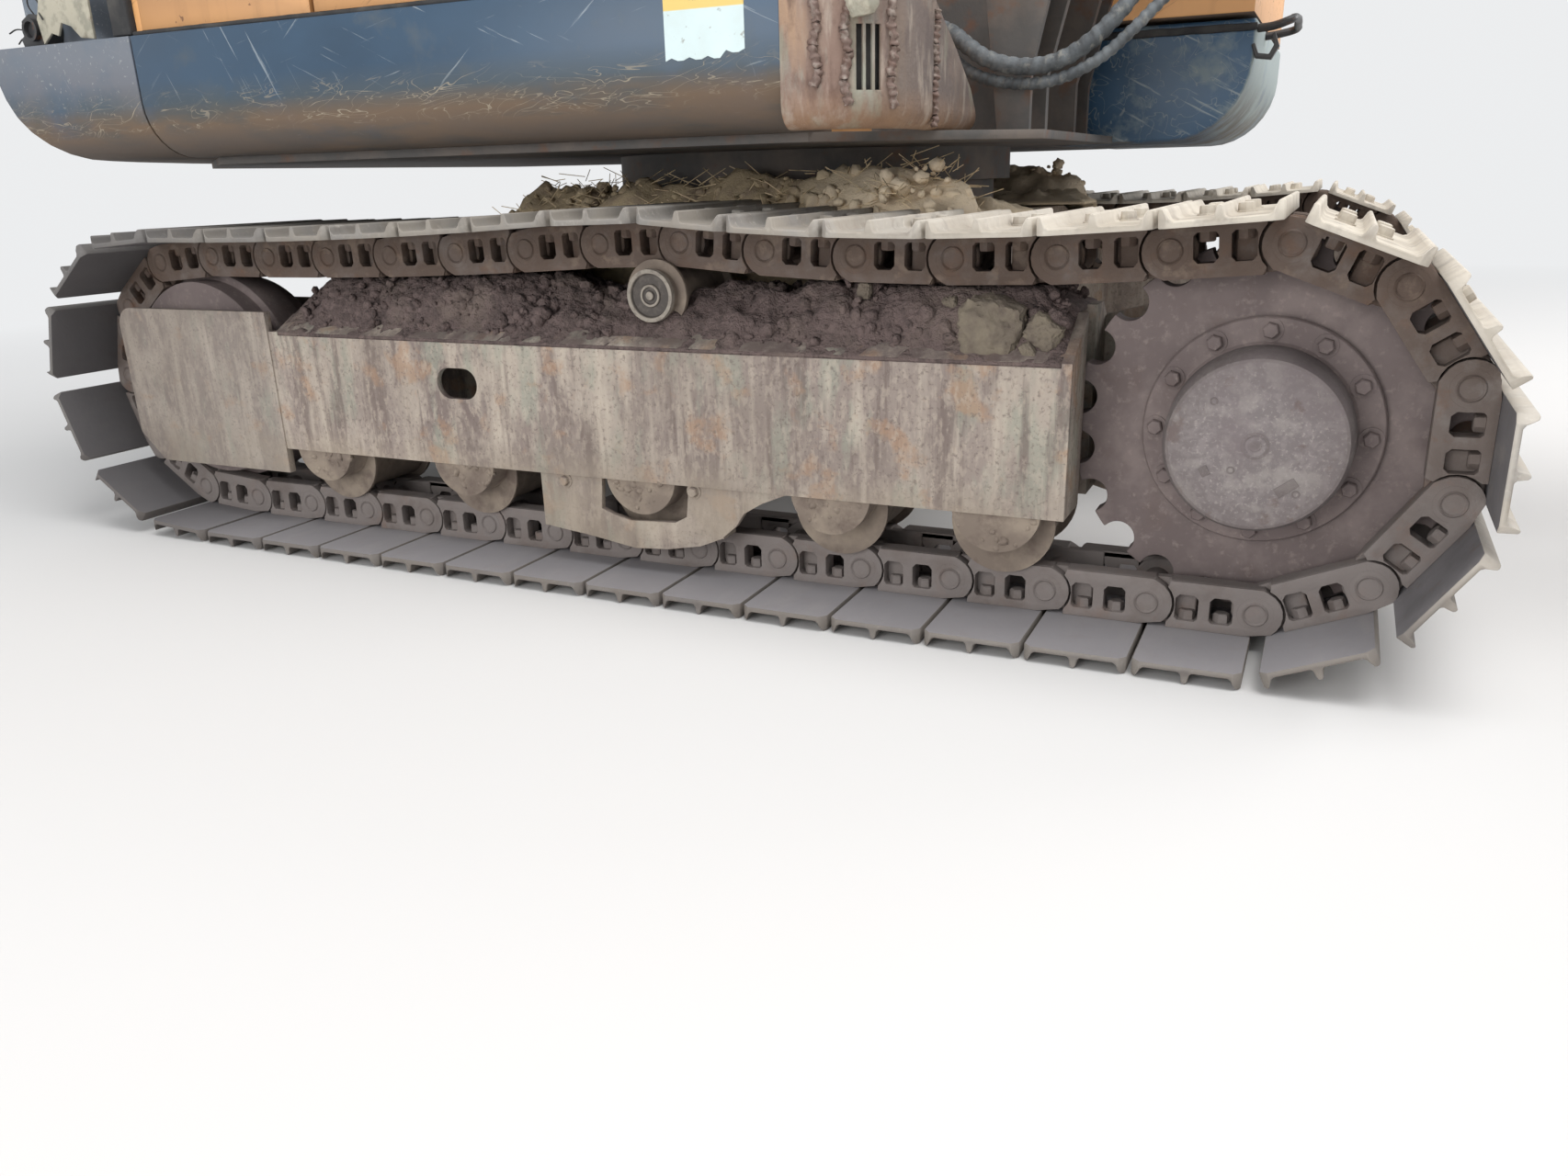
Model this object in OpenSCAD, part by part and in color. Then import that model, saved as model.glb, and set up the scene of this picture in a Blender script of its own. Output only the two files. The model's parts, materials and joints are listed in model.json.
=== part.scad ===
// Crawler excavator of the 6 tonne class, on steel tracks, parked with its arm drawn in.
// Millimetres. X points to the front of the house, Y to its left, Z up; the ground is z = 0.
// Shapes are written from the swing axis, and at_axis() puts that axis at its place.

/* [Undercarriage] */
// Pitch of the track chain
link_pitch = 154; // [140:1:171]
// Teeth of a sprocket, two to each link
sprocket_teeth = 21; // [21:2:25]
// Links in a track
link_count = 37; // [37:2:41]
// Distance between sprocket and idler centres
tumbler_span = 2060; // [1980:10:2200]
// Distance between the track centre planes
gauge = 1550; // [1500:10:1800]
// Width of a track shoe
shoe_w = 450; // [400:10:500]
// Thickness of a shoe plate
shoe_t = 8; // [6:1:12]
// Height of the grousers over the shoe plate
grouser_h = 17; // [12:1:26]
// Height of the shoe seat over the pin line
seat_h = 36; // [32:1:40]
// Depth of the rail under the pin line
rail_h = 38; // [34:1:42]
// Width of the chain over its outer plates
chain_w = 150; // [130:2:170]
// Thickness of one rail of the chain
rail_t = 35; // [25:1:38]
// Height of the pin line over the carrier roller
carrier_line = 589; // [580:1:600]
// Sag of the top run between idler and carrier roller
sag_rear = 12; // [0:1:20]
// Sag of the top run between carrier roller and sprocket
sag_front = 25; // [0:1:30]

/* [Track frame] */
// Width of a track frame over its side plates
frame_w = 270; // [250:2:280]
// Length of the frame box ahead of the swing axis
frame_front = 780; // [770:1:790]
// Length of the frame box behind the swing axis
frame_rear = 749; // [740:1:760]
// Underside of the frame
frame_z0 = 192; // [186:1:200]
// Top edge of the frame's outer plate
frame_z1 = 423; // [415:1:435]
// Ridge of the frame's sloping top
frame_z2 = 488; // [470:1:500]
// Plate thickness of the frame
frame_t = 12; // [8:1:14]
// Radius of the bottom rollers' treads
roller_r = 68.7; // [66:0.1:72]
// Radius of the round underside of the bottom rollers' end caps
roller_cap_r = 69; // [60:1:72]
// Place of the carrier roller along the frame
carrier_x = 80; // [40:5:120]
// Radius of the carrier roller's tread
carrier_r = 42.7; // [38:0.1:46]
// Radius of the final drive's cover
drive_cover_r = 122; // [110:1:130]

/* [House] */
// Underside of the revolving frame
deck_z = 731; // [728:1:740]
// Thickness of its floor plate
floor_t = 14; // [10:1:20]
// Top of the lower band of the house
band_z = 953; // [930:1:970]
// Half width of the house
house_hw = 950; // [900:5:990]
// Radius swept by the tail
tail_r = 1650; // [1600:10:1700]
// Radius of the turntable ring
ring_r = 434; // [420:1:450]
// Top of the cab over the ground
cab_top = 2600; // [2500:10:2700]
// Top of the engine hood
hood_top = 1600; // [1500:10:1700]
// Gap between the band and the panels on it
panel_gap = 7; // [4:1:10]

/* [Arm] */
// Boom centre plane, to the right of the swing axis
boom_y = -225; // [-240:1:-215]
// Width of the boom
boom_w = 210; // [180:2:214]
// Boom length, foot pin to arm pin
boom_len = 3400; // [3200:10:3500]
// Arm length, boom pin to bucket pin
arm_len = 1620; // [1500:10:1700]
// Width of the arm
arm_w = 170; // [150:2:180]
// Width of the bucket
bucket_w = 700; // [600:10:750]
// Diameter of the boom cylinders' tubes
boom_tube_d = 90; // [80:1:92]
// Diameter of the arm cylinder's tube
arm_tube_d = 100; // [85:1:110]
// Diameter of the bucket cylinder's tube
bucket_tube_d = 85; // [75:1:95]

/* [Hidden] */
$fn = 48;

// Colours of the weathered finishes
slate = "#2b3a44";
orange = "#d98a35";
dusty = "#6f5d57";
rusty = "#8a6350";
shoe_grey = "#8d857c";
cast_grey = "#807a76";
dark = "#24272a";
bright = "#b9bcbf";
glass_tint = "#9fb4b8";

// Running fits and weld gaps
gap = 0.3;
pin_fit = 0.6;
side_fit = 4;

// Pin polygon of the track
sprocket_step = 720 / sprocket_teeth;
sprocket_pin_r = link_pitch / 2 / sin(sprocket_step / 2);
idler_links = 5;
idler_step = 180 / idler_links;
idler_pin_r = link_pitch / 2 / sin(idler_step / 2);
pin_z0 = seat_h + shoe_t + grouser_h;
sprocket_x = tumbler_span / 2;
sprocket_z = sprocket_pin_r + pin_z0;
idler_x = -tumbler_span / 2;
idler_z = idler_pin_r + pin_z0;
sprocket_links = 180 / sprocket_step;
run_links = (link_count - sprocket_links - idler_links) / 2;
pin_phase = 0.1;

function lerp(a, b, t) = a + (b - a) * t;
function sag(t, depth) = 4 * depth * t * (1 - t);
function top_run(x) = x < carrier_x
    ? let (t = (x - idler_x) / (carrier_x - idler_x))
        lerp(idler_z + idler_pin_r, carrier_line, t) - sag(t, sag_rear)
    : let (t = (x - carrier_x) / (sprocket_x - carrier_x))
        lerp(carrier_line, sprocket_z + sprocket_pin_r, t) - sag(t, sag_front);
function on_arc(cx, cz, r, a) = [cx + r * cos(a), cz + r * sin(a)];
// Point of the pin line, s links from the top of the sprocket; the chain is flat from its lowest tooth on
function sprocket_pin(s) = let (p = on_arc(sprocket_x, sprocket_z, sprocket_pin_r, 90 - s * sprocket_step))
    s < sprocket_links - 0.5 ? p : [p[0], pin_z0];
function pin_at(s) =
    s < sprocket_links ? sprocket_pin(s)
    : s < sprocket_links + run_links
        ? [lerp(sprocket_x, idler_x, (s - sprocket_links) / run_links), pin_z0]
    : s < sprocket_links + run_links + idler_links
        ? on_arc(idler_x, idler_z, idler_pin_r, -90 - (s - sprocket_links - run_links) * idler_step)
    : let (x = lerp(idler_x, sprocket_x, (s - sprocket_links - run_links - idler_links) / run_links))
        [x, top_run(x)];
pins = [for (k = [0 : link_count - 1]) pin_at(k + pin_phase)];
function pin(k) = pins[(k + link_count) % link_count];
function heading(k) = let (d = pin(k + 1) - pin(k)) atan2(d[1], d[0]);
function turn(k) = let (a = heading(k) - heading(k - 1)) a > 180 ? a - 360 : a < -180 ? a + 360 : a;
// Corner of the chain's outline at pin k, h outside the pin line
function chain_corner(k, h) = let (a = heading(k) - turn(k) / 2 + 90)
    pin(k) + [cos(a), sin(a)] * h / cos(turn(k) / 2);

chain_in = gauge / 2 - chain_w / 2;
chain_out = gauge / 2 + chain_w / 2;
frame_in = gauge / 2 - frame_w / 2;
frame_out = gauge / 2 + frame_w / 2;

// Under side of the chain's rail over a place on the top run
carrier_link = floor(sprocket_links + run_links + idler_links
    + run_links * (carrier_x - idler_x) / tumbler_span - pin_phase);
function rail_under(x) = let (a = pin(carrier_link), b = pin(carrier_link + 1))
    lerp(a[1], b[1], (x - a[0]) / (b[0] - a[0])) - rail_h;
carrier_z = rail_under(carrier_x) - carrier_r - gap;
roller_z = pin_z0 + rail_h + roller_r + gap;
// Places of the bottom rollers along the frame
roller_x = [-675, -330, 52, 406, 677];
idler_tread_r = idler_pin_r * cos(idler_step / 2) - rail_h - gap;

// Arm geometry, seen from the right side, angles from +X towards +Z
foot = [400, 1240];
cyl_foot = [575, 1005];
boom_rest = -7.2;
arm_rest = -150;
lever_len = 360;
lever_turn = 178;
lever_boss_r = 60;
boom_eye = [1250, 390];
arm_cyl_foot = [1560, 850];
front_reach = foot[0] + boom_len * cos(boom_rest)
    + lever_len * cos(boom_rest + arm_rest + lever_turn) + lever_boss_r;
axis_x = (tail_r - front_reach) / 2;

// Bucket linkage in the arm's own plane: u along the arm, w to its front side
link_pivot = [arm_len - 300, 20];
side_link_len = 300;
side_link_rest = 27.4;
bucket_link_len = 350;
bucket_link_rest = 146.3;
bucket_lever = 260;
bucket_lever_rest = -8;
bucket_lever_flat = -6.3;
bucket_cyl_foot = [230, 230];

function turned(v, a) = [v[0] * cos(a) - v[1] * sin(a), v[0] * sin(a) + v[1] * cos(a)];
function length2(v) = sqrt(v[0] * v[0] + v[1] * v[1]);
function angle2(v) = atan2(v[1], v[0]);
arm_turn = boom_rest + arm_rest;
function boom_pt(p) = foot + turned(p, boom_rest);
arm_pin = boom_pt([boom_len, 0]);
function arm_pt(p) = arm_pin + turned(p, arm_turn);
bucket_pin = arm_pt([arm_len, 0]);
link_pin = link_pivot + side_link_len * [cos(side_link_rest), sin(side_link_rest)];
arm_lever_pin = lever_len * [cos(lever_turn), sin(lever_turn)];
bucket_turn = arm_turn + bucket_lever_rest - bucket_lever_flat;
cyl_offset = 188;

module at_axis() translate([axis_x, 0, 0]) children();
module both_sides() {
    children();
    mirror([0, 1, 0]) children();
}
// Extrudes an outline drawn in X and Z across the machine, from y0 to y1
module across(y0, y1) translate([0, y1, 0]) rotate([90, 0, 0]) linear_extrude(y1 - y0) children();
// Extrudes an outline drawn in Y and Z along the machine, from x0 to x1
module along(x0, x1) translate([x0, 0, 0]) rotate([90, 0, 90]) linear_extrude(x1 - x0) children();
module upright(z0, z1) translate([0, 0, z0]) linear_extrude(z1 - z0) children();
// A round bar across the machine at point p of the X Z plane
module bar(p, r, y0, y1) translate([p[0], y1, p[1]]) rotate([90, 0, 0]) cylinder(r = r, h = y1 - y0);
module box(lo, hi) translate(lo) cube(hi - lo);
function arc(c, r, a0, a1, n = 8) = [for (i = [0 : n]) let (a = lerp(a0, a1, i / n)) c + r * [cos(a), sin(a)]];

// Track: shoes and chain rails in one loop
module shoe_outline() {
    tip = seat_h + shoe_t + grouser_h;
    root = seat_h + shoe_t;
    lip = 4;
    mid = link_pitch / 2;
    polygon([[lip, seat_h], [link_pitch - lip, seat_h], [link_pitch - lip - 2, tip],
        [link_pitch - lip - 9, tip], [link_pitch - lip - 14, root], [mid + 4, root], [mid + 2, tip],
        [mid - 2, tip], [mid - 4, root], [lip + 14, root], [lip + 9, tip], [lip + 2, tip]]);
}
module at_link(k) translate(pin(k)) rotate(heading(k)) children();
module rail_outline(windows) difference() {
    polygon([for (k = [0 : link_count - 1]) chain_corner(k, seat_h + 0.5)]);
    polygon([for (k = [0 : link_count - 1]) chain_corner(k, -rail_h)]);
    if (windows)
        for (k = [0 : link_count - 1]) at_link(k)
            translate([link_pitch / 2 - 29, -16]) square([58, 38]);
}
module track() color(shoe_grey) at_axis() {
    for (k = [0 : link_count - 1])
        across(-gauge / 2 - shoe_w / 2, -gauge / 2 + shoe_w / 2) at_link(k) shoe_outline();
    across(-chain_out, -chain_out + rail_t) rail_outline(true);
    across(-chain_in - rail_t, -chain_in) rail_outline(false);
}
module track_right() track();
module track_left() mirror([0, 1, 0]) track();

// Track frame: inverted trough with a sloping top, a guard over the recoil spring, motor bracket
lip_w = 46;
lip_t = 20;
slot_hw = 33;
post_in = 46;
end_t = 15;
cover_proud = 3;
cover_x0 = -1188;
cover_z0 = 143;
cover_z1 = 460;
cover_r = 38;
module frame_outline() polygon([[-frame_out, frame_z0], [-frame_out, frame_z1], [-frame_out + 110, frame_z2],
    [-frame_in - 50, frame_z2], [-frame_in, frame_z2 - 38], [-frame_in, frame_z0]]);
module frame_section() difference() {
    frame_outline();
    polygon([[-frame_out + lip_w, frame_z0 - 1], [-frame_out + lip_w, frame_z0 + lip_t],
        [-frame_out + frame_t, frame_z0 + lip_t], [-frame_out + frame_t, frame_z1 - frame_t],
        [-frame_in - frame_t, frame_z1 - frame_t], [-frame_in - frame_t, frame_z0 + lip_t],
        [-frame_in - lip_w, frame_z0 + lip_t], [-frame_in - lip_w, frame_z0 - 1]]);
}
// Side plate over the idler's fork
module cover_outline() polygon(concat([[-frame_rear - 21, cover_z0], [-frame_rear - 21, cover_z1]],
    arc([cover_x0 + cover_r, cover_z1 - cover_r], cover_r, 90, 180), [[cover_x0, cover_z0 + 57], [cover_x0 + 58, cover_z0]]));
module track_frame() color(dusty) at_axis() {
    difference() {
        union() {
            along(-frame_rear, frame_front) frame_section();
            along(frame_front - end_t, frame_front) frame_outline();
        }
        // Slot for the sprocket's teeth
        box([sprocket_x - 300, -gauge / 2 - slot_hw, frame_z0 - 1], [frame_front + 1, -gauge / 2 + slot_hw, frame_z2 + 1]);
        // Saddle under the carrier roller
        box([carrier_x - 75, -frame_out - 1, carrier_z - 67],
            [carrier_x + 75, -frame_in - post_in, frame_z2 + 1]);
        // Oval hole of the outer plate
        for (dx = [-17, 17]) bar([-321 + dx, 343], 28, -frame_out - 1, -frame_out + frame_t + 1);
        box([-338, -frame_out - 1, 315], [-304, -frame_out + frame_t + 1, 371]);
        // Seat of the idler's fork
        box([-frame_rear - 1, -gauge / 2 - 85, frame_z0 - 1], [-frame_rear + 40, -gauge / 2 + 85, frame_z2 + 1]);
    }
    across(-frame_out - cover_proud, -frame_out + frame_t) cover_outline();
    across(-frame_in - frame_t, -frame_in) cover_outline();
    box([-frame_rear - 21, -frame_out, frame_z0], [-frame_rear, -gauge / 2 - 85, frame_z1]);
    box([-frame_rear - 21, -gauge / 2 + 85, frame_z0], [-frame_rear, -frame_in, frame_z1]);
    // Bracket of the final drive
    across(-frame_in - 20, -frame_in) difference() {
        union() {
            translate([sprocket_x, sprocket_z]) circle(r = 205);
            polygon([[frame_front - 22, frame_z0], [sprocket_x, sprocket_z - 205],
                [sprocket_x, sprocket_z + 205], [frame_front - 60, frame_z2 - 38]]);
        }
        translate([sprocket_x, sprocket_z]) circle(r = 110);
    }
    // Post of the carrier roller
    box([carrier_x - 30, -frame_in - post_in, frame_z2 - 60], [carrier_x + 30, -frame_in - 16, carrier_z + 30]);
}
module track_frame_right() track_frame();
module track_frame_left() mirror([0, 1, 0]) track_frame();

// A turned piece across the machine: list of [half width, radius] steps about a centre line at y
module turned_piece(p, y, steps) translate([p[0], y, p[1]]) rotate([90, 0, 0])
    rotate_extrude() polygon(concat([[0, -steps[len(steps) - 1][0]]],
        [for (i = [len(steps) - 1 : -1 : 0]) each [[steps[i][1], -steps[i][0]], [steps[i][1], i == 0 ? steps[i][0] : -steps[i - 1][0]]]],
        [for (i = [1 : len(steps) - 1]) each [[steps[i][1], steps[i - 1][0]], [steps[i][1], steps[i][0]]]],
        [[0, steps[len(steps) - 1][0]]]));

rib_hw = gauge / 2 - chain_in - rail_t - 6;
module idler() turned_piece([idler_x, idler_z], -gauge / 2,
    [[rib_hw, idler_tread_r + 17], [chain_w / 2, idler_tread_r], [chain_w / 2 + 10, 90], [frame_w / 2 - frame_t - gap, 55]]);
module idlers() color(dusty) at_axis() both_sides() idler();

tooth_gap_r = 25.5;
sprocket_hw = 20;
module sprocket() across(-gauge / 2 - sprocket_hw, -gauge / 2 + sprocket_hw) difference() {
    translate([sprocket_x, sprocket_z]) circle(r = sprocket_pin_r + 5, $fn = 96);
    for (i = [0 : sprocket_teeth - 1])
        translate(on_arc(sprocket_x, sprocket_z, sprocket_pin_r, 90 - (pin_phase + i / 2) * sprocket_step))
            circle(r = tooth_gap_r, $fn = 24);
    translate([sprocket_x, sprocket_z]) circle(r = 100);
}
module sprockets() color(rusty) at_axis() both_sides() sprocket();

module final_drive() {
    out = gauge / 2 + sprocket_hw;
    hub = [sprocket_x, sprocket_z];
    bar(hub, 163, -out - 20, -out);
    bar(hub, drive_cover_r, -905, -out - 20);
    bar(hub, 100 - pin_fit, -out, -gauge / 2 + sprocket_hw);
    bar(hub, 160, -gauge / 2 + sprocket_hw, -frame_in - 20);
    bar(hub, 110 - pin_fit, -frame_in - 20, -frame_in);
    bar(hub, 105, -frame_in, -560);
}
module final_drives() color(cast_grey) at_axis() both_sides() final_drive();

cap_lift = 34;
module roller_cap_outline(x) intersection() {
    translate([x, roller_z + cap_lift]) circle(r = roller_cap_r);
    translate([x - 100, 0]) square([200, frame_z0]);
}
module bottom_roller(x) {
    turned_piece([x, roller_z], -gauge / 2, [[chain_w / 2 + 2, roller_r], [chain_w / 2 + 9, roller_r + 13]]);
    for (y = [-gauge / 2 - frame_w / 2 + 3, -gauge / 2 + chain_w / 2 + 8])
        across(y, y + frame_w / 2 - chain_w / 2 - 11) roller_cap_outline(x);
}
module bottom_rollers() color(dusty) at_axis() both_sides() for (x = roller_x) bottom_roller(x);

module carrier_roller() {
    turned_piece([carrier_x, carrier_z], -gauge / 2,
        [[chain_w / 2 + 3, carrier_r], [chain_w / 2 + 12, carrier_r + 14]]);
    bar([carrier_x, carrier_z], carrier_r - 2, -gauge / 2 - 105, -gauge / 2 - chain_w / 2 - 12);
    bar([carrier_x, carrier_z], 20, -gauge / 2 + chain_w / 2 + 12, -frame_in - post_in);
}
module carrier_rollers() color(dusty) at_axis() both_sides() carrier_roller();

// Guide bracket round the middle roller
guard_x0 = -157;
guard_rib_x = 198;
guard_t = 12;
guard_y = -frame_out + 4;
module roller_guard() {
    across(guard_y, guard_y + guard_t) difference() {
        polygon([[guard_x0, frame_z0], [guard_x0, 94], [-60, 83], [32, 69], [101, 74], [164, 86], [205, 103], [235, 129],
            [250, 152], [283, 172], [330, frame_z0]]);
        polygon([[-27, frame_z0 + 1], [-32, 136], [-7, 127], [27, 119], [117, 124], [140, 136], [147, frame_z0 + 1]]);
    }
    // Turned in edge and rib
    box([guard_x0, guard_y, 94], [guard_x0 + guard_t, guard_y + lip_w, frame_z0]);
    box([guard_rib_x, guard_y, 104], [guard_rib_x + guard_t, guard_y + lip_w, frame_z0]);
}
module roller_guards() color(dusty) at_axis() both_sides() roller_guard();

// Car body: drum and four legs between the track frames
drum_r = 400;
drum_z = 612;
module leg_plan() polygon([[-560, -frame_in], [-300, -frame_in], [-150, -430], [150, -430], [300, -frame_in],
    [560, -frame_in], [420, -200], [420, 200], [560, frame_in], [300, frame_in], [150, 430], [-150, 430],
    [-300, frame_in], [-560, frame_in], [-420, 200], [-420, -200]]);
module car_body() color(dusty) at_axis() difference() {
    union() {
        intersection() {
            upright(300, 600) leg_plan();
            along(-600, 600) polygon([[-frame_in, 300], [-frame_in, 460], [-400, 600], [400, 600],
                [frame_in, 460], [frame_in, 300], [300, 350], [-300, 350]]);
        }
        upright(350, drum_z) circle(r = drum_r);
        // Towing lug
        upright(400, 430) polygon([[380, -60], [500, -50], [500, 50], [380, 60]]);
        translate([500, 0, 400]) cylinder(r = 50, h = 30);
    }
    translate([505, 0, 390]) cylinder(r = 22, h = 50);
}

ring_gap = 0.3;
ring_z = 668;
module swing_bearing() color(dark) at_axis() upright(drum_z, ring_z - ring_gap) difference() {
    circle(r = 400);
    circle(r = 300);
}

// Revolving frame: ring, floor plate, boom brackets and cylinder feet
floor_z = deck_z + floor_t;
plate_t = 20;
bracket_in = boom_w / 2 + 10;
foot_pin_r = 32;
cyl_pin_r = 25;
module bracket_outline() {
    polygon([[-300, floor_z - 1], [600, floor_z - 1], [600, 838], [637, 985], [560, 1060], [480, 1290],
        [310, 1240], [150, 960], [-300, 850]]);
    translate(foot) circle(r = 92);
    translate(cyl_foot) circle(r = 62);
}
module swing_frame() color(slate) at_axis() {
    upright(ring_z, deck_z) difference() {
        circle(r = ring_r);
        circle(r = 300);
    }
    upright(deck_z, floor_z) difference() {
        polygon([[-1250, -560], [-900, -840], [350, -840], [500, -700], [640, -540], [640, 95], [base_x0 - gap, 95],
            [base_x0 - gap, 840], [-900, 840], [-1250, 560]]);
        circle(r = 200);
    }
    for (y = [boom_y - bracket_in - plate_t, boom_y + bracket_in]) across(y, y + plate_t) bracket_outline();
    // Outer lugs of the boom cylinders' feet
    for (y = [boom_y - cyl_offset - 66, boom_y + cyl_offset + 50]) across(y, y + 16) {
        polygon([[545, floor_z - 1], [600, floor_z - 1], [600, 838], [637, 1005], [513, 1005]]);
        translate(cyl_foot) circle(r = 62);
    }
    bar(foot, foot_pin_r, boom_y - bracket_in - plate_t - 10, boom_y + bracket_in + plate_t + 10);
    for (s = [-1, 1]) {
        y0 = boom_y + s * (cyl_offset + 3) - 66;
        bar(cyl_foot, cyl_pin_r, y0, y0 + 132);
    }
    // Plate with the two fittings that the cylinder hoses leave from
    box([hose_plate_x, boom_y - bracket_in - plate_t - 120, floor_z - 1],
        [hose_plate_x + 12, boom_y - bracket_in - plate_t + 1, base_hose[0][2] + 40]);
    for (hose = [[base_hose, base_hose_d], [rod_hose, rod_hose_d]])
        translate([hose_plate_x, hose[0][0][1], hose[0][0][2]]) rotate([0, 90, 0])
            cylinder(d = hose[1] + 8, h = hose[0][0][0] - gap - hose_plate_x);
    // Cross beams under the cab
    for (x = [-540, 360]) box([x, 100, floor_z - 1], [x + 80, 755, door_z0]);
}

// Closing band of the house: a plate bent inwards at its lower edge
band_r = 95;
band_t = 6;
module band_section(t = band_t) {
    c = [-house_hw + band_r, floor_z + band_r];
    polygon(concat([[-house_hw, band_z]], arc(c, band_r, 180, 270), [[-760, floor_z], [-760, floor_z + t]],
        arc(c, band_r - t, 270, 180), [[-house_hw + t, band_z - t], [-880, band_z - t], [-880, band_z]]));
}
band_x0 = -946;
band_x1 = 356;
module side_skirts() color(slate) at_axis() {
    along(band_x0, band_x1) band_section();
    mirror([0, 1, 0]) along(band_x0, base_x0 - 4) band_section();
}

// Front right corner of the band, with three vents
corner_r = 164;
corner_y = -490;
module corner_plan(t) polygon(concat([[band_x1, -house_hw + t]],
    arc([band_x1, -house_hw + corner_r], corner_r - t, -90, 0), [[band_x1 + corner_r - t, corner_y + 6], [band_x1, corner_y + 6]]));
module front_corner() color(rusty) at_axis() {
    difference() {
        upright(floor_z, band_z) difference() {
            corner_plan(0);
            corner_plan(band_t);
        }
        for (i = [-1 : 1]) translate([band_x1, -house_hw + corner_r, 0]) rotate([0, 0, -45 + 5 * i])
            box([100, -5, 795], [200, 5, 880]);
        box([band_x1 - 1, corner_y - 1, floor_z - 1], [band_x1 + 60, corner_y + 7, band_z + 1]);
        // Slanting edge of the front panel, open towards the boom foot
        along(band_x1 + corner_r - band_t - 1, band_x1 + corner_r + 1) polygon([[corner_y - 6, floor_z],
            [-558, 810], [-640, 862], [-753, 922], [-762, band_z + 1], [corner_y + 8, band_z + 1], [corner_y + 8, floor_z]]);
    }
}

// Base of the cab: a closed box with a rounded lower front
base_y = 100;
base_x0 = 499;
base_x1 = 903;
base_r = 150;
module base_outline(t) polygon(concat([[base_x0 + t, floor_z - 14 + t]],
    arc([base_x1 - base_r, floor_z - 14 + base_r], base_r - t, -90, 0), [[base_x1 - t, band_z - t], [base_x0 + t, band_z - t]]));
module cab_base() color(slate) at_axis() difference() {
    across(base_y, house_hw) base_outline(0);
    across(base_y + 8, house_hw - 8) base_outline(8);
}

// Counterweight: a lower band that follows the tail's circle, a set in upper block
module tail_profile(r, z0, z1, low_r, top_r) polygon(concat([[0, z0]],
    arc([r - low_r, z0 + low_r], low_r, -90, 0), arc([r - top_r, z1 - top_r], top_r, 0, 90), [[0, z1]]));
lift_x = -1430;
lift_y = 300;
lift_r = 12;
lift_depth = 80;
block_z = 1200;
module counterweight() color(slate) at_axis() difference() {
    union() {
        intersection() {
            rotate_extrude($fn = 120) tail_profile(tail_r, floor_z, band_z, 190, 12);
            along(-1700, band_x0 - 4) polygon(concat([[house_hw, band_z]], [for (p = arc([house_hw - band_r, floor_z + band_r], band_r, 0, -90)) p],
                [for (p = arc([-house_hw + band_r, floor_z + band_r], band_r, -90, -180)) p], [[-house_hw, band_z]]));
        }
        intersection() {
            rotate_extrude($fn = 120) tail_profile(tail_r - 50, band_z - 1, block_z, 1, 60);
            upright(band_z - 1, block_z) polygon(concat([[band_x0 - 60, -880]],
                arc([-1250, -630], 250, -90, -150), arc([-1250, 630], 250, 150, 90), [[band_x0 - 60, 880]]));
        }
    }
    box([-1000, -560, floor_z - 1], [-900, 560, 1300]);
    // Threaded eyes in its top
    for (y = [-lift_y, lift_y]) translate([lift_x, y, block_z - lift_depth]) cylinder(r = lift_r, h = lift_depth + 1);
}

// Engine hood: an L shaped cover with door openings
hood_t = 12;
hood_y = 930;
hood_x0 = -1300;
hood_x1 = 100;
hood_in = -480;
hood_rear = -620;
module hood_plan(t) polygon(concat([[hood_x1 - t, -hood_y + t]],
    arc([hood_x0 + 250, -hood_y + 250], 250 - t, -90, -180), arc([hood_x0 + 250, hood_y - 250], 250 - t, 180, 90),
    [[hood_rear - t, hood_y - t], [hood_rear - t, hood_in - t], [hood_x1 - t, hood_in - t]]));
door_z0 = band_z + panel_gap;
door_z1 = hood_top - 60;
door_split = -518;
hood_door_x0 = -935;
hood_door_x1 = hood_x1 - 15;
module engine_hood() color(orange) at_axis() difference() {
    upright(band_z, hood_top) hood_plan(0);
    upright(band_z - 1, hood_top - hood_t) hood_plan(hood_t);
    box([hood_x0 - 1, -hood_y - 1, band_z - 1], [-1003, hood_y + 1, 1203]);
    box([hood_door_x0, -hood_y - 1, door_z0 - 1], [hood_door_x1, -hood_y + hood_t + 1, door_z1]);
    box([hood_door_x0, hood_y - hood_t - 1, door_z0 - 1], [-640, hood_y + 1, door_z1]);
    for (i = [0 : 5]) box([-1180 + 60 * i, -300, hood_top - 20], [-1150 + 60 * i, 300, hood_top + 1]);
}
door_t = 25;
module flat_door(x0, x1, y0, z1) box([x0, y0, door_z0 + 3], [x1, y0 + door_t, z1 - 4]);
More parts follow.
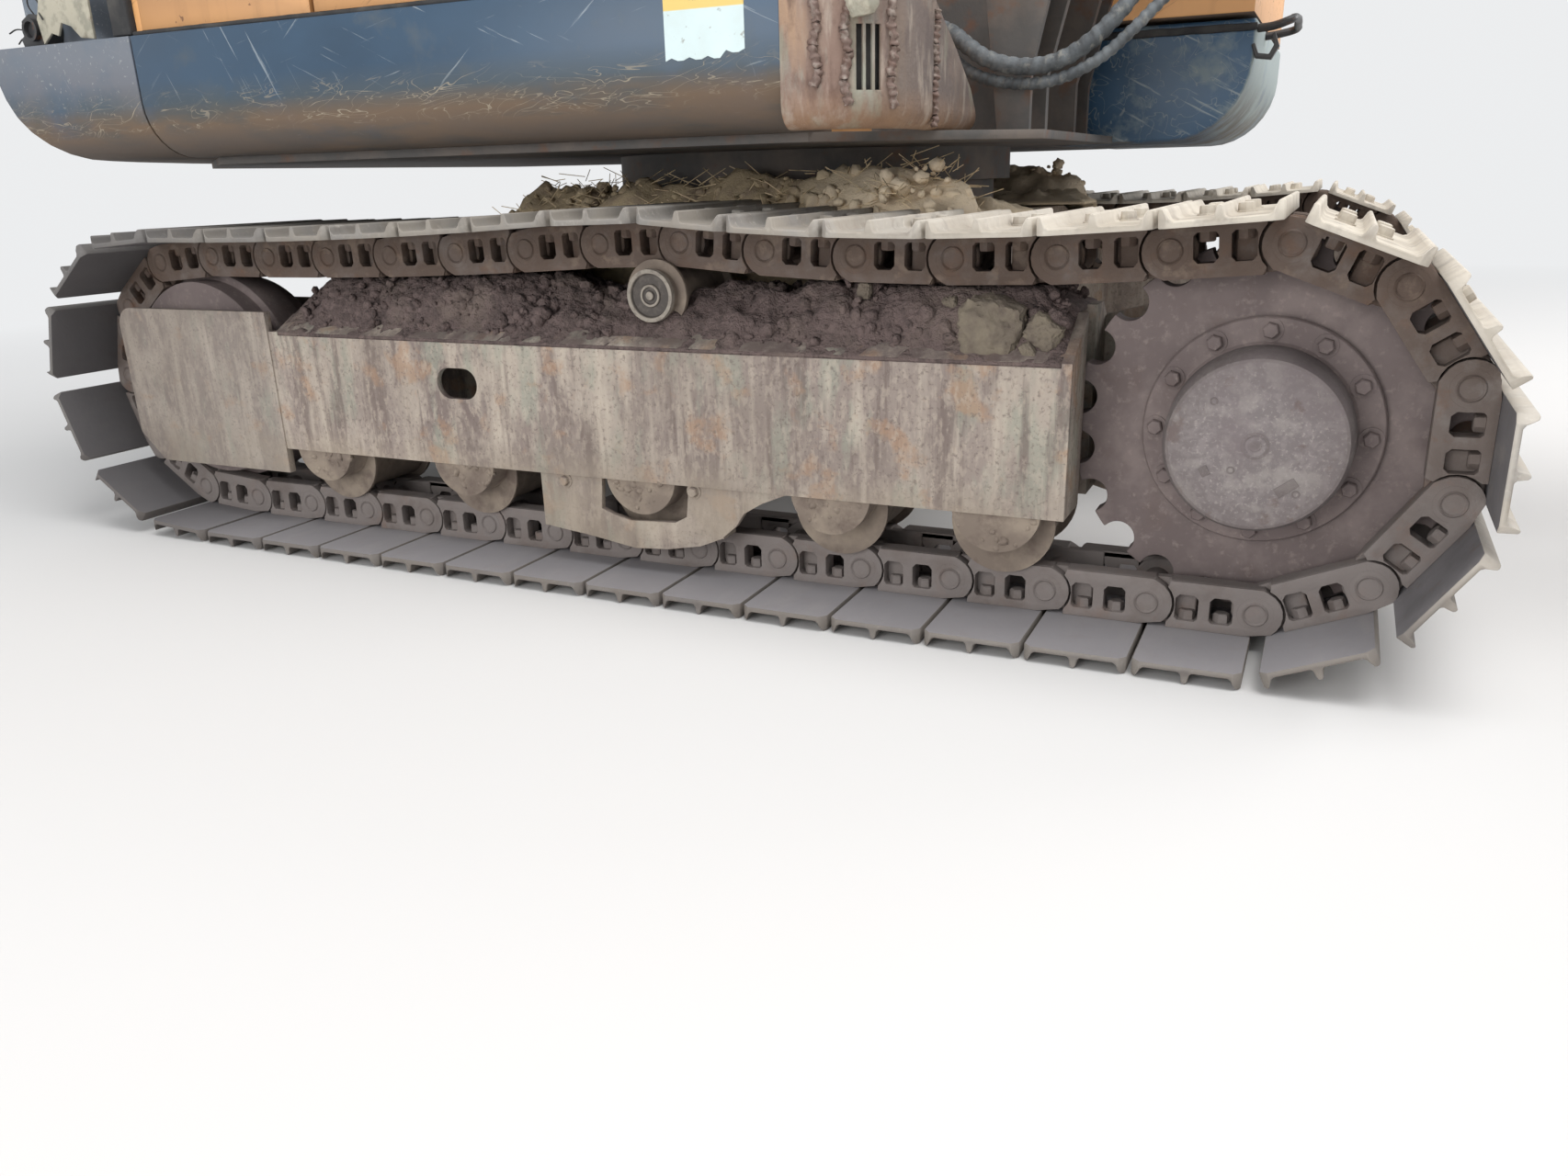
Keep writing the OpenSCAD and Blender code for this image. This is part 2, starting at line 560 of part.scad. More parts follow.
// Hinge barrels outside a door's corner at x, y: the door lies on side sx of the axis, its face looks to side sy
hinge_r = 9;
hinge_h = 60;
hinge_gap = 0.5;
hinge_leaf = 22;
hood_hinge_z = [1080, 1400];
module hinge_barrels(x, y, sx, sy, heights) {
    xs = [x + sx * gap, x + sx * hinge_leaf];
    ys = [y - sy, y + sy * (hinge_r + hinge_gap)];
    for (z = heights) {
        translate([x, ys[1], z]) cylinder(r = hinge_r, h = hinge_h);
        box([min(xs), min(ys), z], [max(xs), max(ys), z + hinge_h]);
    }
}
louvre_count = 9;
louvre_pitch = 30;
louvre_h = 11;
louvre_z0 = 1150;
module service_door() color(orange) at_axis() {
    difference() {
        flat_door(hood_door_x0 + gap, door_split - 5, -hood_y, door_z1);
        // Louvres before the radiator
        for (i = [0 : louvre_count - 1]) translate([0, 0, louvre_z0 + i * louvre_pitch])
            box([hood_door_x0 + 70, -hood_y - 1, 0], [door_split - 75, -hood_y + door_t + 1, louvre_h]);
    }
    hinge_barrels(hood_door_x0, -hood_y, 1, -1, hood_hinge_z);
}
module engine_door() color(orange) at_axis() {
    flat_door(door_split + 5, hood_door_x1 - gap, -hood_y, door_z1);
    hinge_barrels(hood_door_x1, -hood_y, -1, -1, hood_hinge_z);
}
module left_door() color(orange) at_axis() {
    flat_door(hood_door_x0 + gap, -644, hood_y - door_t, door_z1);
    hinge_barrels(hood_door_x0, hood_y, 1, 1, hood_hinge_z);
}

module engine() color(dark) at_axis() box([-930, -420, floor_z], [-660, 420, 1350]);

// Tank and tool box in front of the hood, on the right
tank_x0 = 105;
tank_x1 = 330;
tank_top = 1330;
tank_r = 60;
module tank_box() color(orange) at_axis() {
    across(-hood_y, corner_y - 20) polygon(concat([[tank_x0, door_z0], [tank_x1, door_z0]],
        arc([tank_x1 - tank_r, tank_top - tank_r], tank_r, 0, 90), [[tank_x0, tank_top]]));
    box([tank_x0, -755, floor_z], [tank_x1, corner_y - 20, door_z0 + 1]);
}

// Cab: hollow shell with its windows and door opening cut
cab_y0 = 60;
cab_y1 = 950;
cab_t = 40;
cab_x0 = -580;
cab_x1 = 899;
module cab_outline(t) polygon(concat([[cab_x0 + t, door_z0 + t], [cab_x1 - t, door_z0 + t], [cab_x1 - t, 1500]],
    arc([740 - t, cab_top - 60 - t], 60, 15, 90, 4), arc([cab_x0 + 60 + t, cab_top - 60 - t], 60, 90, 180, 4)));
cab_r = 60;
door_x0 = -120;
door_x1 = 640;
door_zb = 1010;
door_zt = cab_top - 120;
glass_in = cab_t / 2 - 3;
glass_t = 6;
module cab_section(t) polygon(concat([[cab_y0 + t, door_z0 + t], [cab_y1 - t, door_z0 + t]],
    arc([cab_y1 - cab_r, cab_top - cab_r], cab_r - t, 0, 90, 6), arc([cab_y0 + cab_r, cab_top - cab_r], cab_r - t, 90, 180, 6)));
module cab_body(t) intersection() {
    across(cab_y0 + t, cab_y1 - t) cab_outline(t);
    along(cab_x0 + t, cab_x1 - t) cab_section(t);
}
// Windows cut through the shell: x from and to, y from and to, z from and to
windows = [
    [690, cab_x1 + 1, cab_y0 + 70, cab_y1 - 70, 1530, cab_top - 120],
    [690, cab_x1 + 1, cab_y0 + 70, cab_y1 - 70, 1090, 1470],
    [-480, 640, cab_y0 - 1, cab_y0 + cab_t + 1, 1450, cab_top - 150],
    [cab_x0 - 1, cab_x0 + cab_t + 1, cab_y0 + 90, cab_y1 - 90, 1700, cab_top - 150],
    [-500, -180, cab_y1 - cab_t - 1, cab_y1 + 1, 1500, cab_top - 150],
    [100, 520, cab_y0 + 150, cab_y1 - 150, cab_top - cab_t - 1, cab_top + 1]];
module window_box(w) box([w[0], w[2], w[4]], [w[1], w[3], w[5]]);
module cab_shell() color(orange) at_axis() difference() {
    cab_body(0);
    cab_body(cab_t);
    box([door_x0, cab_y1 - cab_t - 1, door_zb], [door_x1, cab_y1 + 1, door_zt]);
    for (w = windows) window_box(w);
}
module cab_glass() color(glass_tint) at_axis() for (w = windows) intersection() {
    window_box(w);
    difference() {
        cab_body(glass_in);
        cab_body(glass_in + glass_t);
    }
}
door_gap = 6;
module cab_door() color(orange) at_axis() {
    difference() {
        box([door_x0 + gap, cab_y1 - 36, door_zb + door_gap], [door_x1 - door_gap, cab_y1, door_zt - door_gap]);
        box([door_x0 + 70, cab_y1 - 40, 1500], [door_x1 - 70, cab_y1 + 1, door_zt - 70]);
    }
    hinge_barrels(door_x0, cab_y1, 1, 1, [door_zb + 140, door_zt - 200]);
}
module door_glass() color(glass_tint) at_axis()
    box([door_x0 + 70, cab_y1 - 20, 1500], [door_x1 - 70, cab_y1 - 14, door_zt - 70]);

cab_floor = door_z0 + cab_t;
module operator_seat() color(dark) at_axis() {
    box([-100, 350, cab_floor], [250, 660, cab_floor + 260]);
    box([-150, 270, cab_floor + 260], [330, 740, cab_floor + 380]);
    across(280, 730) polygon([[-150, cab_floor + 370], [-20, cab_floor + 370], [-110, cab_floor + 980], [-220, cab_floor + 980]]);
}
module control_console() color(dark) at_axis() {
    for (y = [140, 770]) {
        box([-60, y, cab_floor], [350, y + 90, cab_floor + 520]);
        translate([300, y + 45, cab_floor + 519]) cylinder(r = 12, h = 180);
    }
    box([480, 440, cab_floor], [640, 560, cab_floor + 60]);
    for (y = [450, 525]) translate([560, y, cab_floor + 59]) cylinder(r = 10, h = 300);
}

rail_height = 330;
module handrails() color(orange) at_axis() {
    r = 14;
    x0 = tank_x0 + 30;
    x1 = tank_x1 - tank_r - r;
    for (y = [-900, corner_y - 60]) {
        for (x = [x0, x1]) translate([x, y, tank_top]) cylinder(r = r, h = rail_height);
        translate([x0 - r - 6, y, tank_top + rail_height - 2 * r]) rotate([0, 90, 0]) cylinder(r = r - 3, h = x1 - x0 + 2 * r + 12);
    }
}
// Mirror on a post at the outer front corner of the tank
mirror_z = 1700;
module side_mirror() color(dark) at_axis() {
    translate([tank_x1 - tank_r - 45, -820, tank_top]) cylinder(r = 11, h = mirror_z - tank_top + 20);
    box([tank_x1 - tank_r - 45, -915, mirror_z], [tank_x1 - tank_r - 20, -755, mirror_z + 240]);
}
module exhaust() color(rusty) at_axis() {
    translate([-800, 700, hood_top]) cylinder(r = 40, h = 60);
    translate([-800, 700, hood_top + 60]) cylinder(r = 32, h = 240);
}
module work_lamps() color(dark) at_axis() {
    for (y = [150, 740]) across(y, y + 120) polygon([[600, cab_top], [660, cab_top], [672, cab_top + 80], [600, cab_top + 80]]);
}

// Boom: a bent box beam with a forked end
boom_hw = boom_w / 2;
module in_boom(y0, y1) across(y0, y1) translate(foot) rotate(boom_rest) children();
module in_arm(y0, y1) across(y0, y1) translate(arm_pin) rotate(arm_turn) children();
arm_boss_r = 95;
arm_pin_r = 32;
fork_in = arm_w / 2 + 6;
fork_depth = 370;
eye_hw = 38;
arm_eye_hw = 52;
module boom_outline() polygon([[-20, -85], [700, 20], [1250, 300], [1650, 370], [2339, 190], [3050, -40],
    [boom_len - 60, -75], [boom_len + 30, 80], [3050, 170], [2400, 430], [1800, 660], [1450, 680], [1150, 600],
    [500, 260], [-60, 75]]);
module boom() color(orange) at_axis() {
    y0 = boom_y - boom_hw;
    y1 = boom_y + boom_hw;
    difference() {
        union() {
            in_boom(y0, y1) boom_outline();
            in_boom(y0, y1) circle(r = 90);
            in_boom(y0 - 25, y1 + 25) translate([boom_len, 0]) circle(r = 88);
            in_boom(boom_y - cyl_offset + eye_hw + side_fit, boom_y + cyl_offset - eye_hw - side_fit)
                translate(boom_eye) circle(r = 55);
            for (y = [boom_y - arm_eye_hw - side_fit - 18, boom_y + arm_eye_hw + side_fit]) in_boom(y, y + 18) {
                polygon([[1400, 600], [1780, 600], [1610, 880], [1510, 880]]);
                translate(arm_cyl_foot) circle(r = 60);
            }
        }
        in_boom(y0 - 1, y1 + 1) circle(r = foot_pin_r + pin_fit);
        in_boom(boom_y - fork_in, boom_y + fork_in)
            translate([boom_len - fork_depth, -300]) square([fork_depth + 300, 700]);
    }
    in_boom(y0 - 35, y1 + 35) translate([boom_len, 0]) circle(r = arm_pin_r);
    in_boom(boom_y - arm_eye_hw - side_fit - 26, boom_y + arm_eye_hw + side_fit + 26)
        translate(arm_cyl_foot) circle(r = cyl_pin_r);
}

// Hoses of the right boom cylinder: routes from the house's fittings to the ports on the tube
hose_plate_x = 300;
base_hose_d = 28;
rod_hose_d = 20;
base_hose = [[330, -440, 925], [360, -440, 925], [395, -441, 923], [430, -449, 917], [461, -466, 904], [490, -486, 884],
    [525, -501, 862], [565, -507, 848], [605, -508, 843], [645, -506, 848], [680, -499, 864], [710, -490, 887],
    [736, -479, 915], [758, -467, 946], [776, -455, 979], [790, -444, 1012]];
rod_hose = [[330, -432, 898], [360, -432, 898], [393, -433, 895], [422, -439, 887], [449, -454, 873], [476, -474, 855],
    [512, -494, 835], [558, -502, 822], [605, -504, 817], [650, -502, 822], [690, -495, 837], [725, -486, 859],
    [756, -476, 887], [785, -465, 917], [814, -454, 948], [841, -443, 981], [865, -433, 1015], [885, -424, 1050]];
port_len = 70;
hose_sides = 10;
function unit(v) = v / norm(v);
function heading_at(path, i) = unit(path[min(i + 1, len(path) - 1)] - path[max(i - 1, 0)]);
function ring(path, i, r) = let (t = heading_at(path, i), u = unit(cross(t, [0, 1, 0])), v = cross(u, t))
    [for (k = [0 : hose_sides - 1]) path[i] + r * (cos(360 * k / hose_sides) * u + sin(360 * k / hose_sides) * v)];
function quad(a, b) = [[a, b, b + hose_sides], [a, b + hose_sides, a + hose_sides]];
module hose(path, d) polyhedron(
    points = [for (i = [0 : len(path) - 1]) each ring(path, i, d / 2)],
    faces = concat([[for (k = [hose_sides - 1 : -1 : 0]) k]],
        [for (i = [0 : len(path) - 2]) for (k = [0 : hose_sides - 1])
            each quad(i * hose_sides + k, i * hose_sides + (k + 1) % hose_sides)],
        [[for (k = [0 : hose_sides - 1]) (len(path) - 1) * hose_sides + k]]));
module boom_hose_base() color(dark) at_axis() hose(base_hose, base_hose_d);
module boom_hose_rod() color(dark) at_axis() hose(rod_hose, rod_hose_d);
// Elbow port that a hose ends at
module hose_port(path, d) {
    last = path[len(path) - 1];
    way = unit(last - path[len(path) - 2]);
    translate(last + gap * way) rotate([0, acos(way[2]), atan2(way[1], way[0])]) cylinder(d = d + 8, h = port_len);
}

// Hydraulic cylinders, drawn along +X from the foot pin: a bored tube with an eye and gland, a rod with its eye
gland_len = 60;
rod_fit = 0.6;
eye_r = 46;
module placed(foot_pt, y, a) translate([foot_pt[0], y, foot_pt[1]]) rotate([0, -a, 0]) children();
module cylinder_tube(d, rod_d, len, hw) difference() {
    union() {
        rotate([90, 0, 0]) cylinder(r = eye_r, h = 2 * hw, center = true);
        rotate([0, 90, 0]) cylinder(r = min(hw, d / 2) - 3, h = 90);
        translate([80, 0, 0]) rotate([0, 90, 0]) cylinder(d = d, h = len - 80);
        translate([len - gland_len, 0, 0]) rotate([0, 90, 0]) cylinder(d = d + 2, h = gland_len);
    }
    rotate([90, 0, 0]) cylinder(r = cyl_pin_r + pin_fit, h = 2 * hw + 2, center = true);
    translate([100, 0, 0]) rotate([0, 90, 0]) cylinder(d = rod_d + 2 * rod_fit, h = len);
}
module cylinder_rod(total, rod_d, len, hw, cap) {
    translate([total - len, 0, 0]) rotate([0, 90, 0]) cylinder(d = rod_d, h = len - eye_r / 2);
    translate([total, 0, 0]) rotate([90, 0, 0]) cylinder(r = eye_r, h = 2 * hw, center = true);
    translate([total, 0, 0]) rotate([90, 0, 0]) cylinder(r = 30, h = 2 * hw + cap, center = true);
}
boom_cyl_len = length2(boom_pt(boom_eye) - cyl_foot);
boom_cyl_turn = angle2(boom_pt(boom_eye) - cyl_foot);
boom_tube_len = 930;
boom_rod_d = 55;
module boom_cylinder_tubes() color(dark) at_axis() {
    for (s = [-1, 1]) placed(cyl_foot, boom_y + s * cyl_offset, boom_cyl_turn)
        cylinder_tube(boom_tube_d, boom_rod_d, boom_tube_len, eye_hw);
    difference() {
        union() {
            hose_port(base_hose, base_hose_d);
            hose_port(rod_hose, rod_hose_d);
        }
        placed(cyl_foot, boom_y - cyl_offset, boom_cyl_turn) rotate([0, 90, 0]) cylinder(d = boom_tube_d - 4, h = boom_tube_len);
    }
}
module boom_cylinder_rods() color(bright) at_axis() for (s = [-1, 1])
    placed(cyl_foot, boom_y + s * cyl_offset, boom_cyl_turn) cylinder_rod(boom_cyl_len, boom_rod_d, 650, eye_hw, 0);

arm_cyl_vec = arm_pt(arm_lever_pin) - boom_pt(arm_cyl_foot);
arm_tube_len = 1465;
arm_rod_in = 900;
arm_rod_d = 60;
lug_hw = 30;
fork_t = 24;
module arm_cylinder_tube() color(dark) at_axis() placed(boom_pt(arm_cyl_foot), boom_y, angle2(arm_cyl_vec))
    cylinder_tube(arm_tube_d, arm_rod_d, arm_tube_len, arm_eye_hw);
module arm_cylinder_rod() color(bright) at_axis() placed(boom_pt(arm_cyl_foot), boom_y, angle2(arm_cyl_vec)) {
    total = length2(arm_cyl_vec);
    w = lug_hw + 5 + fork_t;
    fork = 200;
    translate([total - arm_rod_in, 0, 0]) rotate([0, 90, 0]) cylinder(d = arm_rod_d, h = arm_rod_in + 20 - fork);
    translate([total - fork, -w, -40]) cube([50, 2 * w, 80]);
    for (s = [-1, 1]) translate([0, s * (w - fork_t / 2) + fork_t / 2, 0]) rotate([90, 0, 0]) {
        translate([total, 0, 0]) cylinder(r = 56, h = fork_t);
        translate([total - fork, -45, 0]) cube([fork, 90, fork_t]);
    }
}

// Arm: box beam with the lever lug behind its pin
link_pin_r = 25;
module arm() color(orange) at_axis() difference() {
    hw = arm_w / 2;
    union() {
        in_arm(boom_y - hw, boom_y + hw) {
            polygon([[-60, -74], [0, -94], [300, -84], [arm_len - 60, -62], [arm_len + 20, -50], [arm_len + 20, 50],
                [arm_len - 60, 66], [420, 150], [200, 170], [-40, 90]]);
            circle(r = arm_boss_r);
            translate([arm_len, 0]) circle(r = 66);
        }
        in_arm(boom_y - lug_hw, boom_y + lug_hw) {
            polygon([[0, -80], [0, 95], [-340, 70], [-340, -46]]);
            translate(arm_lever_pin) circle(r = lever_boss_r);
        }
        for (y = [boom_y - 60, boom_y + 42]) in_arm(y, y + 18) {
            polygon([[90, 100], [380, 100], [280, 255], [185, 255]]);
            translate(bucket_cyl_foot) circle(r = 52);
        }
        in_arm(boom_y - 68, boom_y + 68) translate(bucket_cyl_foot) circle(r = cyl_pin_r);
        in_arm(boom_y - hw - 28, boom_y + hw + 28) translate(link_pivot) circle(r = link_pin_r);
    }
    in_arm(boom_y - hw - 1, boom_y + hw + 1) circle(r = arm_pin_r + pin_fit);
    in_arm(boom_y - hw - 1, boom_y + hw + 1) translate([arm_len, 0]) circle(r = link_pin_r + 5 + pin_fit);
}

bucket_cyl_vec = arm_pt(link_pin) - arm_pt(bucket_cyl_foot);
bucket_rod_out = 648;
bucket_tube_len = length2(bucket_cyl_vec) - bucket_rod_out;
bucket_rod_d = 50;
bucket_eye_hw = 36;
module bucket_cylinder_tube() color(dark) at_axis() placed(arm_pt(bucket_cyl_foot), boom_y, angle2(bucket_cyl_vec))
    cylinder_tube(bucket_tube_d, bucket_rod_d, bucket_tube_len, bucket_eye_hw);
module bucket_cylinder_rod() color(bright) at_axis() placed(arm_pt(bucket_cyl_foot), boom_y, angle2(bucket_cyl_vec))
    cylinder_rod(length2(bucket_cyl_vec), bucket_rod_d, 700, 30, 0);

link_in = arm_w / 2 + 5;
link_t = 18;
module side_links() color(cast_grey) at_axis() for (y = [boom_y - link_in - link_t, boom_y + link_in])
    in_arm(y, y + link_t) translate(link_pivot) rotate(side_link_rest) difference() {
        union() {
            circle(r = 46);
            translate([side_link_len, 0]) circle(r = 46);
            translate([0, -34]) square([side_link_len, 68]);
        }
        circle(r = link_pin_r + pin_fit);
    }
module in_bucket(y0, y1) across(y0, y1) translate(bucket_pin) rotate(bucket_turn) children();
lever_pin = bucket_lever * [cos(bucket_lever_flat), sin(bucket_lever_flat)];
module bucket_link() color(cast_grey) at_axis() difference() {
    hw = arm_w / 2 - 1;
    union() {
        for (y = [boom_y - hw, boom_y + 36]) in_arm(y, y + hw - 36) translate(link_pin) circle(r = 46);
        for (y = [boom_y - hw, boom_y + 36]) in_arm(y, y + hw - 36) translate(link_pin)
            rotate(bucket_link_rest - 180) translate([0, -36]) square([bucket_link_len, 72]);
        in_arm(boom_y - hw, boom_y + hw) translate(link_pin) rotate(bucket_link_rest - 180) {
            translate([bucket_link_len, 0]) circle(r = 46);
            translate([bucket_link_len - 190, -36]) square([190, 72]);
        }
    }
    in_bucket(boom_y - 200, boom_y + 200) translate(lever_pin) circle(r = link_pin_r + pin_fit);
}

// Bucket: shell between two side plates, ears, lip and teeth
ear_in = arm_w / 2 + 6;
ear_t = 25;
shell_t = 14;
module bucket_side() polygon(concat([[-140, -112], [200, -112]], arc([150, -285], 180, 62, -75, 10), [[-640, -458], [-600, -400]]));
module bucket_inner() polygon(concat([[-175, -112 - shell_t], [190, -112 - shell_t]],
    arc([150, -285], 180 - shell_t, 62, -75, 10), [[-640, -458 + shell_t], [-700, -300]]));
tooth_count = 5;
module bucket() color(rusty) at_axis() {
    y0 = boom_y - bucket_w / 2;
    y1 = boom_y + bucket_w / 2;
    difference() {
        in_bucket(y0, y1) bucket_side();
        in_bucket(y0 + shell_t, y1 - shell_t) bucket_inner();
    }
    for (y = [boom_y - ear_in - ear_t, boom_y + ear_in]) in_bucket(y, y + ear_t) {
        circle(r = 58);
        translate(lever_pin) circle(r = 52);
        polygon([[-70, -116], [-50, 20], [0, 50], [260, 20], [300, -60], [270, -170], [190, -116]]);
    }
    in_bucket(boom_y - ear_in - ear_t - 8, boom_y + ear_in + ear_t + 8) circle(r = link_pin_r + 5);
    in_bucket(boom_y - ear_in - ear_t - 8, boom_y + ear_in + ear_t + 8) translate(lever_pin) circle(r = link_pin_r);
    // Lip and teeth
    in_bucket(y0, y1) polygon([[-560, -458], [-690, -462], [-690, -452], [-560, -436]]);
    for (i = [0 : tooth_count - 1]) {
        y = y0 + 30 + i * (bucket_w - 60) / (tooth_count - 1) - 22;
        in_bucket(y, y + 44) polygon([[-640, -474], [-640, -430], [-720, -436], [-815, -455], [-815, -463], [-720, -474]]);
    }
}

track_right();
track_left();
track_frame_right();
track_frame_left();
idlers();
sprockets();
final_drives();
bottom_rollers();
carrier_rollers();
roller_guards();
car_body();
swing_bearing();
swing_frame();
counterweight();
side_skirts();
front_corner();
cab_base();
tank_box();
engine_hood();
engine();
service_door();
engine_door();
left_door();
cab_shell();
cab_glass();
cab_door();
door_glass();
operator_seat();
control_console();
handrails();
side_mirror();
exhaust();
work_lamps();
boom();
boom_cylinder_tubes();
boom_cylinder_rods();
boom_hose_base();
boom_hose_rod();
arm_cylinder_tube();
arm_cylinder_rod();
arm();
bucket_cylinder_tube();
bucket_cylinder_rod();
side_links();
bucket_link();
bucket();
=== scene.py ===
"""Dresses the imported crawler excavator: worn chains and shoes, mud, faded paint, hoses and glass."""

import json
import math
import random

import bpy
from bpy.props import FloatProperty, FloatVectorProperty, IntProperty, PointerProperty
from mathutils import Matrix, Vector, noise


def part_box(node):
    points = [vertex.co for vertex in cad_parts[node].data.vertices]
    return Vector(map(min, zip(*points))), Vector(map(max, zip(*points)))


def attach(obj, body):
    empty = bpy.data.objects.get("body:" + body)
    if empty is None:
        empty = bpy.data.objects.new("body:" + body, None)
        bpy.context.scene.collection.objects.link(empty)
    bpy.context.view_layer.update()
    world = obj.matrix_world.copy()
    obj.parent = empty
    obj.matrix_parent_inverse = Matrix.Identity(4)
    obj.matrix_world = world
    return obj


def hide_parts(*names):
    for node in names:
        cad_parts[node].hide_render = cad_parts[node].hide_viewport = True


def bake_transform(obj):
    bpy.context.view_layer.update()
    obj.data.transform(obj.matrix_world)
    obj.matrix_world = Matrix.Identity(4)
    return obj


bl_info = {
    "name": "Crawler excavator dressing",
    "version": (1, 0, 0),
    "blender": (4, 5, 0),
    "location": "View3D > Sidebar > Excavator",
    "description": "Dresses a crawler excavator's CAD frame with worn tracks, paint, hoses and glass",
    "category": "Object",
}

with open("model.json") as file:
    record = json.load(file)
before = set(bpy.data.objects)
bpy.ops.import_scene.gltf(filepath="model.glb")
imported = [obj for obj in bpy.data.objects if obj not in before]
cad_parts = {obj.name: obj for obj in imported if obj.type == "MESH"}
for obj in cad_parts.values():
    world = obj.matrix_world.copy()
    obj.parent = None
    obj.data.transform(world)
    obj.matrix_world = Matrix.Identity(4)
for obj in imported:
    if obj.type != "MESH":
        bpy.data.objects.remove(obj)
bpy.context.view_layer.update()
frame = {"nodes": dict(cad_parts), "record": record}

NODE_BODY = {node: body for body, nodes in frame["record"]["behaviour"]["bodies"].items() for node in nodes}
NODE_SLOT = {part["node"]: part["material_slot"] for part in frame["record"]["subparts"]}

# The swing axis: places are measured in metres from it, with z from the ground
RING_LOW, RING_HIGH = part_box("swing_bearing")
AXIS_X = (RING_LOW.x + RING_HIGH.x) / 2

# Running gear: the line of the pins over the carrier roller and how far its first pin is shifted along
# it, where the rollers stand, and the bolts of the shoes
CARRIER_X = 0.08
CARRIER_Z = 0.5025
CARRIER_LINE = 0.589
PIN_PHASE = 0.1
ROLLER_PLACES = (-0.675, -0.330, 0.052, 0.406, 0.677)
ROLLER_Z = 0.190
CHAIN_BOLTS = (0.047, 0.096)
CHAIN_BOLT_Y = 0.0565

# Soil on the car body: the crest of the heap, and the ceiling under the floor of the house
HEAP_Y = -0.50
HEAP_CEILING = 0.735

# House: the outer face of the band, its rounded front corner and the height of the door latches;
# along the cylinders, from where to where each rod is an eye
SKIRT_Y = -0.950
CORNER = (0.356, -0.786)
CORNER_R = 0.164
LATCH_Z = 1.27
ROD_EYES = ((1.635, 1.80), (2.30, 2.395), (3.93, 4.30))

# Boom: its middle plane, half its width, its foot pin and how its drawing is turned at rest
BOOM_Y = -0.225
BOOM_HALF = 0.110
FOOT_PIN = (0.400, 1.240)
BOOM_TURN = math.radians(-7.2)

# The photograph's camera
CAMERA_PLACE = (1.105, -2.577, 0.682)
CAMERA_RIGHT = (0.9086, 0.4170, -0.0245)
CAMERA_BACK = (0.4007, -0.8535, 0.3331)

AXES = {"X": Vector((1, 0, 0)), "Y": Vector((0, 1, 0)), "Z": Vector((0, 0, 1))}
MIRROR = Matrix.Scale(-1, 4, (0, 1, 0))


def length(name, default, text):
    """A length property in metres."""
    return FloatProperty(name=name, description=text, default=default, min=0.0, unit="LENGTH")


def power(name, default, text):
    """A property for the power of a light in watts."""
    return FloatProperty(name=name, description=text, default=default, min=0.0, unit="POWER")


def colour(name, default, text):
    """A colour property in linear light."""
    return FloatVectorProperty(name=name, description=text, default=default, size=3, min=0.0, max=1.0,
                               subtype="COLOR")


class ExcavatorTrack(bpy.types.PropertyGroup):
    """Sizes of the chain and its shoes"""

    pitch: length("Link pitch", 0.154, "Distance between two pins")
    links: IntProperty(name="Links", description="Links in a track", default=37, min=20)
    teeth: IntProperty(name="Teeth", description="Teeth of a sprocket", default=21, min=11)
    span: length("Span", 2.06, "Distance between sprocket and idler")
    gauge: length("Gauge", 1.55, "Distance between the track centres")
    shoe_width: length("Shoe width", 0.45, "Width of a shoe")
    shoe_plate: length("Shoe plate", 0.008, "Thickness of a shoe plate")
    grouser: length("Grouser", 0.017, "Height of the grousers over the plate")
    seat: length("Shoe seat", 0.036, "Height of the shoe seat over the pin line")
    rail: length("Rail", 0.038, "Depth of the rail under the pin line")
    chain_half: length("Half chain", 0.075, "Half the width of the chain")


class ExcavatorColours(bpy.types.PropertyGroup):
    """Colours of the finishes"""

    orange: colour("Orange", (0.70, 0.36, 0.14), "Faded orange paint")
    slate: colour("Slate", (0.022, 0.052, 0.092), "Slate blue paint of the lower band")
    frame_dust: colour("Frame dust", (0.285, 0.235, 0.205), "Dry dust on the track frames")
    mud: colour("Mud", (0.112, 0.081, 0.075), "Caked soil")
    rust: colour("Rust", (0.19, 0.085, 0.045), "Rust")
    straw: colour("Straw", (0.42, 0.33, 0.21), "Dry grass and pale soil")
    steel: colour("Steel", (0.19, 0.18, 0.185), "Worn bare steel")


class ExcavatorStudio(bpy.types.PropertyGroup):
    """Light of the plain studio"""

    key: power("Key", 440.0, "Power of the large top light")
    fill: power("Fill", 235.0, "Power of the side light")
    ambient: FloatProperty(name="Ambient", description="Strength of the sky", default=0.6, min=0.0)
    backdrop: colour("Backdrop", (0.84, 0.85, 0.86), "Pale colour behind the machine")
    lens: FloatProperty(name="Lens", description="Focal length in millimetres", default=26.73, min=1.0)


# Modelling helpers


def at(x, y, z):
    """A point measured in metres from the swing axis on the ground."""
    return Vector((AXIS_X + x, y, z))


def deselect():
    """Leaves nothing selected."""
    bpy.ops.object.select_all(action="DESELECT")


def pick(obj):
    """Selects one object alone and makes it active."""
    deselect()
    obj.select_set(True)
    bpy.context.view_layer.objects.active = obj


def new_object(name, verts, edges, faces):
    """A mesh object from its points, edges and faces."""
    mesh = bpy.data.meshes.new(name)
    mesh.from_pydata(verts, edges, faces)
    obj = bpy.data.objects.new(name, mesh)
    bpy.context.collection.objects.link(obj)
    return obj


def added(name):
    """Names the primitive that was just added."""
    obj = bpy.context.view_layer.objects.active
    obj.name = name
    return obj


def edit_mesh(obj, *steps):
    """Works in edit mode: each step is an operator with its settings, and acts on the whole mesh."""
    pick(obj)
    bpy.ops.object.mode_set(mode="EDIT")
    for operator, settings in steps:
        bpy.ops.mesh.select_all(action="SELECT")
        operator(**settings)
    bpy.ops.object.mode_set(mode="OBJECT")
    return obj


